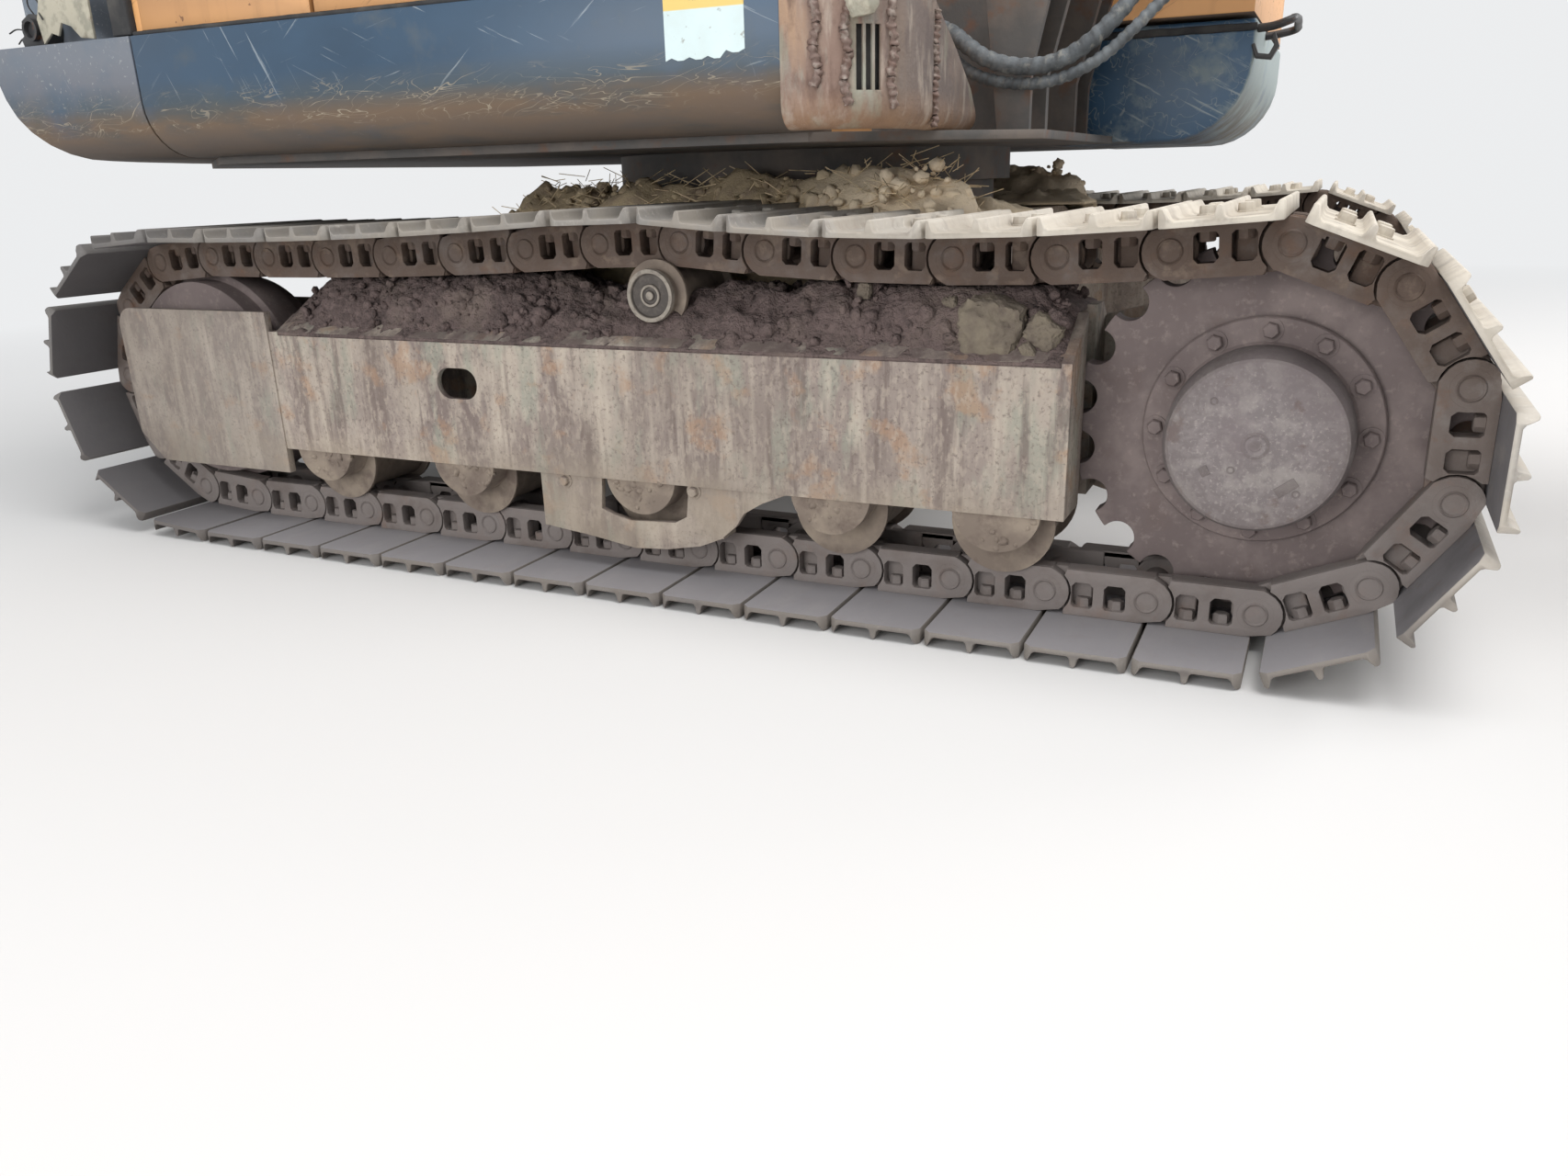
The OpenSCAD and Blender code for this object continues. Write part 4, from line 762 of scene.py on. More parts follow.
def finish_black_paint(colours):
    """Black paint, dusty and chipped."""
    f = Finish("black_paint", (0.022, 0.022, 0.024), 0.45)
    f.coat(f.patches(8, 0.45, 0.7), (0.07, 0.065, 0.06), 0.7, 0.7)
    f.coat(f.patches(45, 0.6, 0.66, shift=5), shade(colours.rust, 0.8), 0.7, 0.85)


def finish_rubber():
    """Dusty rubber."""
    f = Finish("rubber", (0.018, 0.018, 0.019), 0.75)
    f.coat(f.patches(14, 0.45, 0.7), (0.075, 0.07, 0.063), 0.7)
    f.relief(f.spread(200, detail=3), 0.0006, 0.5)


def finish_hose_wrap():
    """Grey spiral wrap of the hoses."""
    f = Finish("hose_wrap", (0.055, 0.062, 0.068), 0.7)
    f.coat(f.patches(22, 0.42, 0.6), (0.14, 0.155, 0.165), 0.8)
    f.coat(f.patches(60, 0.55, 0.68, shift=3), (0.24, 0.235, 0.21), 0.6)
    f.relief(f.spread(260, detail=3), 0.001, 0.8)


def finish_rod_steel():
    """Chromed rods with dull dark eyes."""
    f = Finish("rod_steel", (0.62, 0.62, 0.61), 0.22, 1.0)
    f.coat(f.patches(30, 0.6, 0.72), (0.25, 0.21, 0.17), 0.5, 0.5)
    for near, far in ROD_EYES:
        eye = f.both(f.along("X", near, near + 0.006), f.along("X", far, far - 0.006))
        f.coat(eye, (0.13, 0.115, 0.10), 1.0, 0.75)


def finish_cast_steel(colours):
    """Cast steel with dust and rust."""
    f = Finish("cast_steel", (0.15, 0.135, 0.125), 0.6, 0.2)
    f.coat(f.patches(12, 0.45, 0.65), (0.24, 0.205, 0.18), 0.7, 0.8)
    f.coat(f.patches(30, 0.56, 0.68, shift=5), shade(colours.rust, 0.9), 0.7, 0.85)
    f.relief(f.spread(150, detail=4), 0.0008, 0.5)


def finish_bucket_wear():
    """Rusty bucket with stains and scoured streaks."""
    f = Finish("bucket_wear", (0.20, 0.135, 0.10), 0.7)
    f.coat(f.patches(4, 0.42, 0.62), (0.31, 0.165, 0.08), 0.75)
    f.coat(f.patches(14, 0.5, 0.68, shift=3), (0.11, 0.065, 0.048), 0.75)
    f.coat(f.patches(30, 0.55, 0.68, stretch=(1, 0.2, 1), shift=6), (0.33, 0.30, 0.275), 0.6, 0.5)
    f.relief(f.spread(110, detail=5), 0.0012, 0.6)


def finish_exhaust_rust(colours):
    """Burnt rust of the exhaust."""
    f = Finish("exhaust_rust", shade(colours.rust, 0.8), 0.85)
    f.coat(f.patches(18, 0.45, 0.65), (0.085, 0.045, 0.032), 0.8)
    f.relief(f.spread(200, detail=4), 0.0008, 0.6)


def finish_black_plastic():
    """Black plastic with dust."""
    f = Finish("black_plastic", (0.022, 0.022, 0.024), 0.55)
    f.coat(f.patches(9, 0.45, 0.7), (0.06, 0.057, 0.052), 0.6, 0.8)


def finish_seat_cloth():
    """Worn dark cloth."""
    f = Finish("seat_cloth", (0.035, 0.036, 0.04), 0.9)
    f.coat(f.patches(260, 0.45, 0.6), (0.065, 0.066, 0.07), 0.6)
    f.coat(f.patches(5, 0.5, 0.7, shift=3), (0.10, 0.09, 0.075), 0.5)
    f.relief(f.spread(500, detail=2), 0.0005, 0.6)


def finish_bare_filler():
    """Bare metal and filler on torn and cut edges."""
    f = Finish("bare_filler", (0.42, 0.39, 0.31), 0.8)
    f.coat(f.patches(40, 0.45, 0.6), (0.26, 0.25, 0.20), 0.8)
    f.coat(f.patches(18, 0.55, 0.66, shift=3), (0.16, 0.12, 0.085), 0.7)
    f.relief(f.spread(160, detail=4), 0.001, 0.7)


def finish_blank_label():
    """Faded blank label with a strip of old glue."""
    f = Finish("blank_label", (0.60, 0.72, 0.73), 0.5)
    f.coat(f.patches(12, 0.45, 0.7), (0.52, 0.60, 0.58), 0.6)
    f.coat(f.along("Z", 0.911, 0.9125), (0.72, 0.50, 0.12), 0.95)
    f.coat(f.patches(60, 0.62, 0.68, shift=6), (0.22, 0.20, 0.17), 0.7)


def finish_lamp_lens():
    """Dirty glass of the work lamps."""
    f = Finish("lamp_lens", (0.75, 0.76, 0.74), 0.25)
    f.coat(f.patches(9, 0.45, 0.7), (0.45, 0.42, 0.36), 0.5)


def finish_glass():
    """Faintly green clear glass."""
    f = Finish("glass", (0.62, 0.70, 0.70), 0.06)
    f.shader.inputs["Transmission Weight"].default_value = 1.0
    f.shader.inputs["IOR"].default_value = 1.45


TINTED_FINISHES = (finish_frame_dust, finish_mud, finish_pale_soil, finish_dry_grass, finish_shoe_inner,
                   finish_slate_paint, finish_cab_base_paint, finish_deck_grime, finish_orange_paint,
                   finish_black_paint, finish_cast_steel, finish_exhaust_rust)
PLAIN_FINISHES = (finish_cap_steel, finish_yellow_soil, finish_sprocket_rust, finish_drive_cover,
                  finish_chain, finish_shoe_outer, finish_roller_dust, finish_corner_rust, finish_weld,
                  finish_rubber, finish_hose_wrap, finish_rod_steel, finish_bucket_wear,
                  finish_black_plastic, finish_seat_cloth, finish_bare_filler, finish_blank_label,
                  finish_lamp_lens, finish_glass)


def make_finishes(colours):
    """All the finishes of the machine: those that take colours from the panel, and the rest."""
    for make in TINTED_FINISHES:
        make(colours)
    for make in PLAIN_FINISHES:
        make()


# Tracks


class PinLine:
    """The closed line of the track's pins, seen from the right side, in metres from the swing axis."""

    idler_links = 5
    idler_sag = 0.012
    sprocket_sag = 0.025

    def __init__(self, track):
        self.track = track
        self.low = track.seat + track.shoe_plate + track.grouser
        self.step = math.tau / track.teeth * 2
        self.sprocket_r = track.pitch / 2 / math.sin(self.step / 2)
        self.idler_r = track.pitch / 2 / math.sin(math.pi / self.idler_links / 2)
        self.sprocket = Vector((track.span / 2, self.sprocket_r + self.low))
        self.idler = Vector((-track.span / 2, self.idler_r + self.low))
        self.wrap = math.pi / self.step
        self.run = (track.links - self.wrap - self.idler_links) / 2

    def top(self, x):
        """Height of the upper run, which sags between idler, carrier roller and sprocket."""
        carrier = (CARRIER_X, CARRIER_LINE)
        if x < CARRIER_X:
            (x0, z0), (x1, z1), sag = self.idler + Vector((0, self.idler_r)), carrier, self.idler_sag
        else:
            (x0, z0), (x1, z1), sag = carrier, self.sprocket + Vector((0, self.sprocket_r)), self.sprocket_sag
        t = (x - x0) / (x1 - x0)
        return z0 + (z1 - z0) * t - 4 * sag * t * (1 - t)

    def pin(self, s):
        """Pin number s, counted clockwise from the top of the sprocket."""
        s = s % self.track.links
        if s < self.wrap:
            turn = math.pi / 2 - s * self.step
            place = self.sprocket + self.sprocket_r * Vector((math.cos(turn), math.sin(turn)))
            return place if s < self.wrap - 0.5 else Vector((place.x, self.low))
        s -= self.wrap
        if s < self.run:
            return Vector((self.sprocket.x + (self.idler.x - self.sprocket.x) * s / self.run, self.low))
        s -= self.run
        if s < self.idler_links:
            turn = -math.pi / 2 - s * math.pi / self.idler_links
            return self.idler + self.idler_r * Vector((math.cos(turn), math.sin(turn)))
        s -= self.idler_links
        x = self.idler.x + (self.sprocket.x - self.idler.x) * s / self.run
        return Vector((x, self.top(x)))

    def link_places(self):
        """For each link the matrix that takes it from its drawing plane to the right track."""
        places = []
        for k in range(self.track.links):
            here = self.pin(k + PIN_PHASE)
            ahead = self.pin(k + 1 + PIN_PHASE)
            turn = math.atan2(ahead.y - here.y, ahead.x - here.x)
            move = Matrix.Translation(at(here.x, -self.track.gauge / 2, here.y))
            places.append(move @ Matrix.Rotation(-turn, 4, "Y"))
        return places


def link_plate(track):
    """One rail link with its two windows, seen from outside: boss at the pin, tail behind the next boss."""
    pitch = track.pitch
    seat = track.seat - 0.0005
    rail = -track.rail
    boss = 0.0375
    outline = arc((0, 0), boss, 130, 245, 7) + [(-0.008, rail), (pitch - 0.034, rail)]
    outline += arc((pitch, 0), boss + 0.0035, 224, 138, 6) + [(pitch - 0.03, seat), (0.012, seat)]
    plate = prism("link_plate", outline, -track.chain_half, -0.054)
    outline = [(pitch - 0.07, rail)] + arc((pitch, 0), boss - 0.002, -90, 90, 9)
    outline += [(pitch - 0.07, seat - 0.002)]
    tail = prism("link_tail", outline, -0.0545, -0.036)
    waist = prism("link_waist", [(0.03, rail), (pitch - 0.06, rail), (pitch - 0.06, seat), (0.03, seat)],
                  -0.0545, -0.040)
    half = 0.0165
    for part in (plate, waist):
        windows = []
        for x in CHAIN_BOLTS:
            opening = [(x - half, -0.012), (x - half + 0.006, -0.0185), (x + half - 0.006, -0.0185),
                       (x + half, -0.012), (x + half, 0.018), (x + half - 0.004, 0.0225),
                       (x - half + 0.004, 0.0225), (x - half, 0.018)]
            windows.append(prism("window", opening, -0.09, -0.02))
        cut(part, windows)
    soften(plate, 0.0032, 2, 40)
    soften(waist, 0.0)
    soften(tail, 0.002, 1, 40)
    tread = prism("tread", [(-0.012, rail - 0.0004), (pitch - 0.03, rail - 0.0004),
                            (pitch - 0.03, rail + 0.012), (-0.012, rail + 0.012)], -0.072, -0.040)
    soften(tread, 0.003, 1, 40)
    end = [(0.004, 0), (0.004, 0.006), (0.0015, 0.0085), (0.0015, 0.0135), (-0.0015, 0.0165), (0.004, 0.0205),
           (0.001, 0.0255), (0.009, 0.028)]
    pin_end = soften(turned("pin_end", end, (0, -track.chain_half - 0.0012, 0), "Y", 20), 0.0)
    nut = [(0, 0), (0, 0.0125), (0.012, 0.012), (0.014, 0.0095), (0.014, 0)]
    nuts = [turned("nut", nut, (x, -CHAIN_BOLT_Y, 0.023), (0, 0, -1), 6) for x in CHAIN_BOLTS]
    return join("link_side", [plate, waist, tail, tread, pin_end] + nuts)


def shoe(track):
    """One worn triple grouser shoe with clipped corners."""
    pitch = track.pitch
    base = track.seat
    plate = base + track.shoe_plate
    tip = plate + track.grouser
    middle = pitch / 2
    # The worn outer grouser from its foot to its outer face; the other outer one is its mirror image
    outer = [(0.021, plate), (0.0165, plate + 0.003), (0.0125, tip - 0.006), (0.010, tip - 0.001),
             (0.0055, tip - 0.0005), (0.0035, tip - 0.003), (0.003, base)]
    profile = [outer[-1]] + [(pitch - x, z) for x, z in outer[::-1]]
    profile += [(middle + 0.009, plate), (middle + 0.006, plate + 0.003), (middle + 0.004, tip - 0.003),
                (middle + 0.001, tip), (middle - 0.002, tip - 0.001), (middle - 0.004, tip - 0.004),
                (middle - 0.006, plate + 0.003), (middle - 0.009, plate)]
    profile += outer[:-1]
    half = track.shoe_width / 2
    body = prism("shoe", profile, -half, half)
    corners = []
    for side in (-1, 1):
        for x, into in ((0.0, 1), (pitch, -1)):
            wedge = [(x - into * 0.002, side * (half - 0.016)), (x - into * 0.002, side * (half + 0.002)),
                     (x + into * 0.016, side * (half + 0.002))]
            corners.append(prism("corner", wedge, base - 0.01, tip + 0.01, "XY"))
    return soften(cut(body, corners), 0.0012, 1, 40)


def shoe_bolts(track):
    """The four worn bolt heads of a shoe, with their washers."""
    seat = track.seat + track.shoe_plate - 0.0002
    head = [(0, 0), (0, 0.014), (0.0022, 0.014), (0.0024, 0.0115), (0.0125, 0.0105), (0.0135, 0.008),
            (0.0135, 0)]
    return join("shoe_bolts", [turned("head", head, (x, y, seat), "Z", 8)
                               for y in (-CHAIN_BOLT_Y, CHAIN_BOLT_Y) for x in CHAIN_BOLTS])


def build_tracks(track):
    """Chains, shoes and bolts of both tracks, copied link by link along the pin line."""
    places = PinLine(track).link_places()
    side = link_plate(track)
    far_side = moved_copy(side, "link_far", MIRROR)
    bush = turned("bush", [(-0.04, 0), (-0.04, 0.0215), (0.04, 0.0215), (0.04, 0)], (0, 0, 0), "Y", 20)
    link = join("link", [side, far_side, soften(bush, 0.0)])
    chain, shoes, bolts = [along_track(part, name, places) for part, name in (
        (link, "chain_right"), (shoe(track), "shoes_right"), (shoe_bolts(track), "shoe_bolts_right"))]
    paint_by_side(shoes, places)
    dress_sides(chain, "chain", "shoe_steel", ["track_right"], ["track_left"])
    dress_sides(shoes, None, "shoe_steel")
    dress_sides(bolts, "shoe_outer", "shoe_steel")


def along_track(part, name, places):
    """Copies of a part at every link, joined into one named piece."""
    piece = join(name, [moved_copy(part, name, place) for place in places])
    drop(part)
    return piece


def paint_by_side(shoes, places):
    """The shoes' inner faces get the polished finish, the rest the dusty one."""
    shoes.data.materials.clear()
    for name in ("shoe_outer", "shoe_inner"):
        shoes.data.materials.append(FINISHES[name])
    faces = len(shoes.data.polygons) // len(places)
    for k, place in enumerate(places):
        inward = place.to_3x3() @ Vector((0, 0, -1))
        for polygon in shoes.data.polygons[k * faces:(k + 1) * faces]:
            polygon.material_index = 1 if polygon.normal.dot(inward) > 0.9 else 0


# Undercarriage


def build_frames():
    """Track frames, idlers, rollers, car body and swing bearing with rounded edges."""
    for side in ("right", "left"):
        softened("track_frame_" + side, 0.0035, "frame_dust")
    for name, finish in (("idlers", "sprocket_rust"), ("bottom_rollers", "roller_dust"),
                         ("carrier_rollers", "roller_dust"), ("roller_guards", "frame_dust"),
                         ("car_body", "frame_dust"), ("swing_bearing", "deck_grime")):
        softened(name, 0.003, finish)


def build_roller_ends():
    """Dished caps of the carrier rollers, dirt on the bottom rollers and bolts of the roller guards."""
    profile = [(-0.006, 0), (-0.006, 0.0065), (-0.002, 0.0085), (-0.002, 0.013), (-0.0045, 0.0145),
               (-0.0045, 0.0175), (-0.001, 0.0195), (-0.001, 0.0335), (-0.006, 0.0365), (-0.006, 0.0425),
               (0.002, 0.0435)]
    cap = soften(turned("carrier_cap_right", profile, at(CARRIER_X, -0.880, CARRIER_Z)), 0.0)
    out = (0, -1, 0)
    bolts = [bolt("guard_bolt", at(x, -0.906, z), out, 0.017) for x, z in ((-0.104, 0.181), (0.157, 0.183))]
    bolts += [bolt("cap_bolt", at(x + side, -0.885, ROLLER_Z), out, 0.015)
              for x in ROLLER_PLACES for side in (-0.045, 0.045)]
    bolts = join("roller_bolts_right", bolts)

    def cap_spot(rng):
        """A place on the lower half of a roller's cap."""
        turn = rng.uniform(math.pi, math.tau)
        reach = 0.064 * rng.random() ** 0.5
        return at(rng.choice(ROLLER_PLACES) + reach * math.cos(turn), -rng.uniform(0.899, 0.905),
                  ROLLER_Z + reach * 0.8 * math.sin(turn))

    dirt = clods("roller_dirt_right", 320, cap_spot, 31, 0.003, 0.010)
    for obj, finish in ((cap, "cap_steel"), (bolts, "frame_dust"), (dirt, "roller_dust")):
        dress_sides(obj, finish, "rusted_steel")


def build_drives(track):
    """Sprockets, hub rings with their bolts, and the speckled covers with the plug marks."""
    softened("sprockets", 0.0025, "sprocket_rust")
    hub = PinLine(track).sprocket
    centre = at(hub.x, -track.gauge / 2, hub.y)
    profile = [(-0.020, 0), (-0.020, 0.160), (-0.030, 0.163), (-0.036, 0.160), (-0.036, 0.128),
               (-0.044, 0.124), (-0.044, 0)]
    ring = soften(turned("hub_ring", profile, centre, "Y", 96), 0.0012)
    profile = [(-0.044, 0.0), (-0.044, 0.1245), (-0.060, 0.1255), (-0.118, 0.1225), (-0.1285, 0.117),
               (-0.130, 0.112), (-0.1295, 0.020), (-0.1303, 0.0185), (-0.1303, 0.0145), (-0.1290, 0.0125),
               (-0.1290, 0.009), (-0.1303, 0.007), (-0.1303, 0)]
    cover = soften(turned("cover", profile, centre, "Y", 96), 0.0)
    bolts = []
    bolt_circle = 0.1435
    for i in range(12):
        turn = math.tau * i / 12
        seat = centre + Vector((bolt_circle * math.cos(turn), -0.036, bolt_circle * math.sin(turn)))
        bolts.append(bolt("drive_bolt", seat, (0, -1, 0), 0.021))
    heads = join("drive_bolts_right", bolts)
    marks = []
    for dx, dz, turn, reach in ((-0.062, -0.040, 30, 0.012), (0.045, -0.055, 38, 0.030)):
        plate = block("mark", (-reach / 2, -0.0012, -0.007), (reach / 2, 0.0012, 0.007))
        plate.data.transform(Matrix.Translation(centre + Vector((dx, -0.1298, dz)))
                             @ Matrix.Rotation(math.radians(-turn), 4, "Y"))
        marks.append(soften(plate, 0.0008))
    profile = [(0.001, 0), (0.0006, 0.0028), (-0.0012, 0.0032), (-0.0016, 0.0052), (0.0006, 0.006)]
    for dx, dz in ((-0.058, 0.058), (-0.028, -0.036), (0.058, -0.063)):
        marks.append(turned("plug", profile, centre + Vector((dx, -0.1292, dz)), "Y", 16))
    cover = join("drive_cover_right", [cover] + marks)
    profile = [(0.0, 0), (0.0, 0.098), (0.02, 0.1), (0.02, 0.158), (0.115, 0.158), (0.115, 0.109),
               (0.135, 0.109), (0.135, 0.104), (0.205, 0.104), (0.215, 0.095), (0.215, 0)]
    motor = soften(turned("motor", profile, centre, "Y", 64), 0.002)
    dress_sides(join("drive_hub_right", [ring, motor]), "sprocket_rust", "cast_steel")
    dress_sides(cover, "drive_cover", "cast_steel", ["final_drives"])
    dress_sides(heads, "sprocket_rust", "cast_steel")


def mud_bed(name, xs, ys, surface, depth, ceiling, seed, cell=0.012):
    """A crumbly bed of soil on a surface, under a ceiling: low at its rim, lumpy in the middle."""
    nx = int((xs[1] - xs[0]) / cell)
    ny = max(4, int((ys[1] - ys[0]) / cell))
    bpy.ops.mesh.primitive_grid_add(x_subdivisions=nx, y_subdivisions=ny, size=1.0)
    bed = added(name)
    for vert in bed.data.vertices:
        u = vert.co.x + 0.5
        v = vert.co.y + 0.5
        x = xs[0] + (xs[1] - xs[0]) * u
        y = ys[0] + (ys[1] - ys[0]) * v
        rim = min(1.0, 6 * min(u, 1 - u) * (xs[1] - xs[0]) / 0.3, 7 * min(v, 1 - v))
        spot = Vector((x + seed, y, seed))
        height = depth(x, y) * (0.92 + 0.35 * noise.noise(spot * 6))
        height += 0.016 * noise.noise(spot * 24) + 0.009 * noise.noise(spot * 62)
        vert.co = at(x, y, min(ceiling(x), surface(y) + max(-0.004, height * rim)))
    return smooth(edit_mesh(bed, extrude((0, 0, -0.006)), FACE_OUT))


def clods(name, count, place, seed, small=0.004, large=0.014):
    """Loose lumps, each a roughened ball, at places drawn from place(rng)."""
    rng = random.Random(seed)
    balls = []
    for variant in range(6):
        bpy.ops.mesh.primitive_ico_sphere_add(subdivisions=2, radius=1.0, location=(0, 0, 0))
        ball = added("ball")
        for vert in ball.data.vertices:
            vert.co *= 1 + 0.45 * noise.noise(vert.co * 1.7 + Vector((variant * 7.3, seed, 0)))
        balls.append(ball)
    parts = []
    for _ in range(count):
        spot = place(rng)
        size = small + (large - small) * rng.random() ** 2.5
        turn = Matrix.Rotation(rng.uniform(0, 6), 4, (rng.random(), rng.random(), rng.random() + 0.1))
        flat = Matrix.Diagonal((size, size * rng.uniform(0.6, 1), size * rng.uniform(0.5, 0.9), 1))
        ball = balls[rng.randrange(len(balls))]
        parts.append(moved_copy(ball, name, Matrix.Translation(spot) @ turn @ flat))
    for ball in balls:
        drop(ball)
    return smooth(join(name, parts))


def lump(name, centre, size, seed):
    """One blocky lump of dry soil."""
    bpy.ops.mesh.primitive_ico_sphere_add(subdivisions=5, radius=1.0, location=(0, 0, 0))
    stone = added(name)
    for vert in stone.data.vertices:
        co = vert.co / max(abs(part) for part in vert.co) ** 0.55
        spot = co + Vector((seed * 3.1, seed, 0))
        swell = 0.16 * noise.noise(spot * 1.4) + 0.10 * noise.noise(spot * 4) + 0.05 * noise.noise(spot * 11)
        vert.co = co * (1 + swell) * Vector(size)
    stone.data.transform(Matrix.Translation(at(*centre)) @ Matrix.Rotation(seed * 0.11, 4, "Y"))
    return soften(stone, 0.0, angle=35)


def frame_top(y):
    """Top of the right track frame: the outer slope, then the flat ridge."""
    out = abs(y)
    if out > 0.80:
        return 0.423 + (0.910 - out) / 0.110 * 0.065
    return 0.488


def between(x, *steps):
    """The value at x of a line through (x, value) steps."""
    for (x0, value0), (x1, value1) in zip(steps, steps[1:]):
        if x <= x1:
            return value0 + (value1 - value0) * max(0.0, x - x0) / (x1 - x0)
    return steps[-1][1]


def shoulder(x, y):
    """How deep the soil lies on the shoulder of a track frame: little of it beside the carrier roller."""
    deep = between(x, (-0.74, 0.016), (-0.62, 0.046), (-0.34, 0.050), (-0.16, 0.034), (-0.05, 0.008),
                   (0.06, 0.006), (0.18, 0.022), (0.30, 0.016), (0.40, 0.044), (0.60, 0.046), (0.76, 0.034))
    rim = 0.892 + 0.016 * noise.noise(Vector((x * 9, 3, 1))) + 0.008 * noise.noise(Vector((x * 33, 5, 1)))
    inside = max(0.0, min(1.0, (rim - abs(y)) / 0.022))
    return (deep + 0.010 * noise.noise(Vector((x * 5, y * 5, 1)))) * inside - 0.003 * (1 - inside)


def car_body_top(y):
    """Top of the car body: flat in the middle, then sloping down towards the track frame."""
    out = abs(y)
    return 0.612 if out < 0.40 else 0.60 - (out - 0.40) / 0.24 * 0.14


def heap_depth(x, y):
    """Depth of the ridge of soil and straw on the car body, outside the swing ring."""
    crest = between(x, (-0.56, 0.52), (-0.46, 0.63), (-0.38, 0.690), (0.20, 0.690), (0.30, 0.705),
                    (0.38, 0.722), (0.44, 0.716), (0.50, 0.670), (0.55, 0.56))
    outside = between(math.hypot(x, y), (0.40, 0.0), (0.46, 1.0))
    return max(0.02, crest - 0.7 * abs(y - HEAP_Y) - car_body_top(y)) * outside


def build_soil(track):
    """Caked soil and loose lumps on the shoulders of the track frames."""
    line = PinLine(track)

    def under_chain(x):
        """Height just under the rails of the upper run."""
        return line.top(x) - track.rail - 0.004

    def spot_on(rng):
        """A place on the shoulder of the track frame, but not beside the carrier roller."""
        x = rng.uniform(-0.72, 0.755)
        if abs(x - CARRIER_X - 0.03) < 0.10:
            x -= 0.35
        y = -rng.uniform(0.70, 0.893)
        return at(x, y, frame_top(y) + shoulder(x, y) * rng.uniform(0.35, 0.95))

    bed = mud_bed("mud_bed", (-0.745, 0.765), (-0.911, -0.665), frame_top, shoulder, under_chain, 1, 0.007)
    mud = join("mud_right", [bed, clods("mud_clods", 1500, spot_on, 11, 0.003, 0.017)])
    dress_sides(mud, "mud", "frame_paint")

    # Each lump's centre, its half sizes and its seed
    stones = [lump("soil_lump", *row) for row in (((0.652, -0.866, 0.463), (0.049, 0.036, 0.046), 2),
                                                  ((0.730, -0.870, 0.462), (0.026, 0.024, 0.024), 5),
                                                  ((0.712, -0.888, 0.436), (0.013, 0.011, 0.010), 9),
                                                  ((0.585, -0.850, 0.490), (0.017, 0.014, 0.013), 12),
                                                  ((0.440, -0.835, 0.512), (0.013, 0.011, 0.011), 15))]
    dress(join("soil_lumps", stones), "yellow_soil", "undercarriage", "frame_paint")


def build_heap():
    """The heap of soil and dry grass on each side of the car body."""

    def heap_spot(rng):
        """A place on the heap's outer slope."""
        x = rng.uniform(-0.52, 0.52)
        y = rng.uniform(-0.60, -0.47)
        return at(x, y, car_body_top(y) + heap_depth(x, y) * rng.uniform(0.7, 0.95))

    bed = mud_bed("heap_bed", (-0.56, 0.56), (-0.635, -0.25), car_body_top, heap_depth,
                  lambda x: HEAP_CEILING, 4)
    heap = join("heap_right", [bed, clods("heap_clods", 320, heap_spot, 23, 0.005, 0.020)])
    dress_sides(heap, "pale_soil", "frame_paint")

    rng = random.Random(8)
    stems = []
    for _ in range(420):
        foot = heap_spot(rng) + Vector((0, 0, 0.012))
        lean = Vector((rng.uniform(-1, 1), rng.uniform(-0.6, 0.6), rng.uniform(-0.15, 0.55)))
        reach = foot + lean * rng.uniform(0.02, 0.08)
        stems.append(rod("stem", foot, reach, 0.0009, 3))
    dress(join("dry_grass_heap", stems), "dry_grass", "undercarriage", "frame_paint")


# Hoses of the boom cylinders, from the fittings on the hose plate to the cylinder tubes


HOSE_ROUTES = {
    "boom_hose_base": (0.028, [
        (0.330, -0.440, 0.925), (0.360, -0.440, 0.925), (0.395, -0.441, 0.923), (0.430, -0.449, 0.917),
        (0.461, -0.466, 0.904), (0.490, -0.486, 0.884), (0.525, -0.501, 0.862), (0.565, -0.507, 0.848),
        (0.605, -0.508, 0.843), (0.645, -0.506, 0.848), (0.680, -0.499, 0.864), (0.710, -0.490, 0.887),
        (0.736, -0.479, 0.915), (0.758, -0.467, 0.946), (0.776, -0.455, 0.979), (0.790, -0.444, 1.012)]),
    "boom_hose_rod": (0.020, [
        (0.330, -0.432, 0.898), (0.360, -0.432, 0.898), (0.393, -0.433, 0.895), (0.422, -0.439, 0.887),
        (0.449, -0.454, 0.873), (0.476, -0.474, 0.855), (0.512, -0.494, 0.835), (0.558, -0.502, 0.822),
        (0.605, -0.504, 0.817), (0.650, -0.502, 0.822), (0.690, -0.495, 0.837), (0.725, -0.486, 0.859),
        (0.756, -0.476, 0.887), (0.785, -0.465, 0.917), (0.814, -0.454, 0.948), (0.841, -0.443, 0.981),
        (0.865, -0.433, 1.015), (0.885, -0.424, 1.050)]),
}


def route_frames(points, step):
    """Places every step along a smooth line through points: distance, point, heading, side and upper side."""
    places = []
    gone = 0.0
    last = None
    for k in range(len(points) - 1):
        before, start, end, after = (points[max(k - 1, 0)], points[k], points[k + 1],
                                     points[min(k + 2, len(points) - 1)])
        count = max(2, round((end - start).length / step))
        for i in range(count + (k == len(points) - 2)):
            t = i / count
            point = 0.5 * (2 * start + (end - before) * t
                           + (2 * before - 5 * start + 4 * end - after) * t ** 2
                           + (3 * start - before - 3 * end + after) * t ** 3)
            gone += (point - last).length if last else 0.0
            last = point
            places.append([gone, point])
    for i, place in enumerate(places):
        heading = places[min(i + 1, len(places) - 1)][1] - places[max(i - 1, 0)][1]
        heading.normalize()
        side = heading.cross(AXES["Z"]).normalized()
        place.extend((heading, side, side.cross(heading)))
    return places


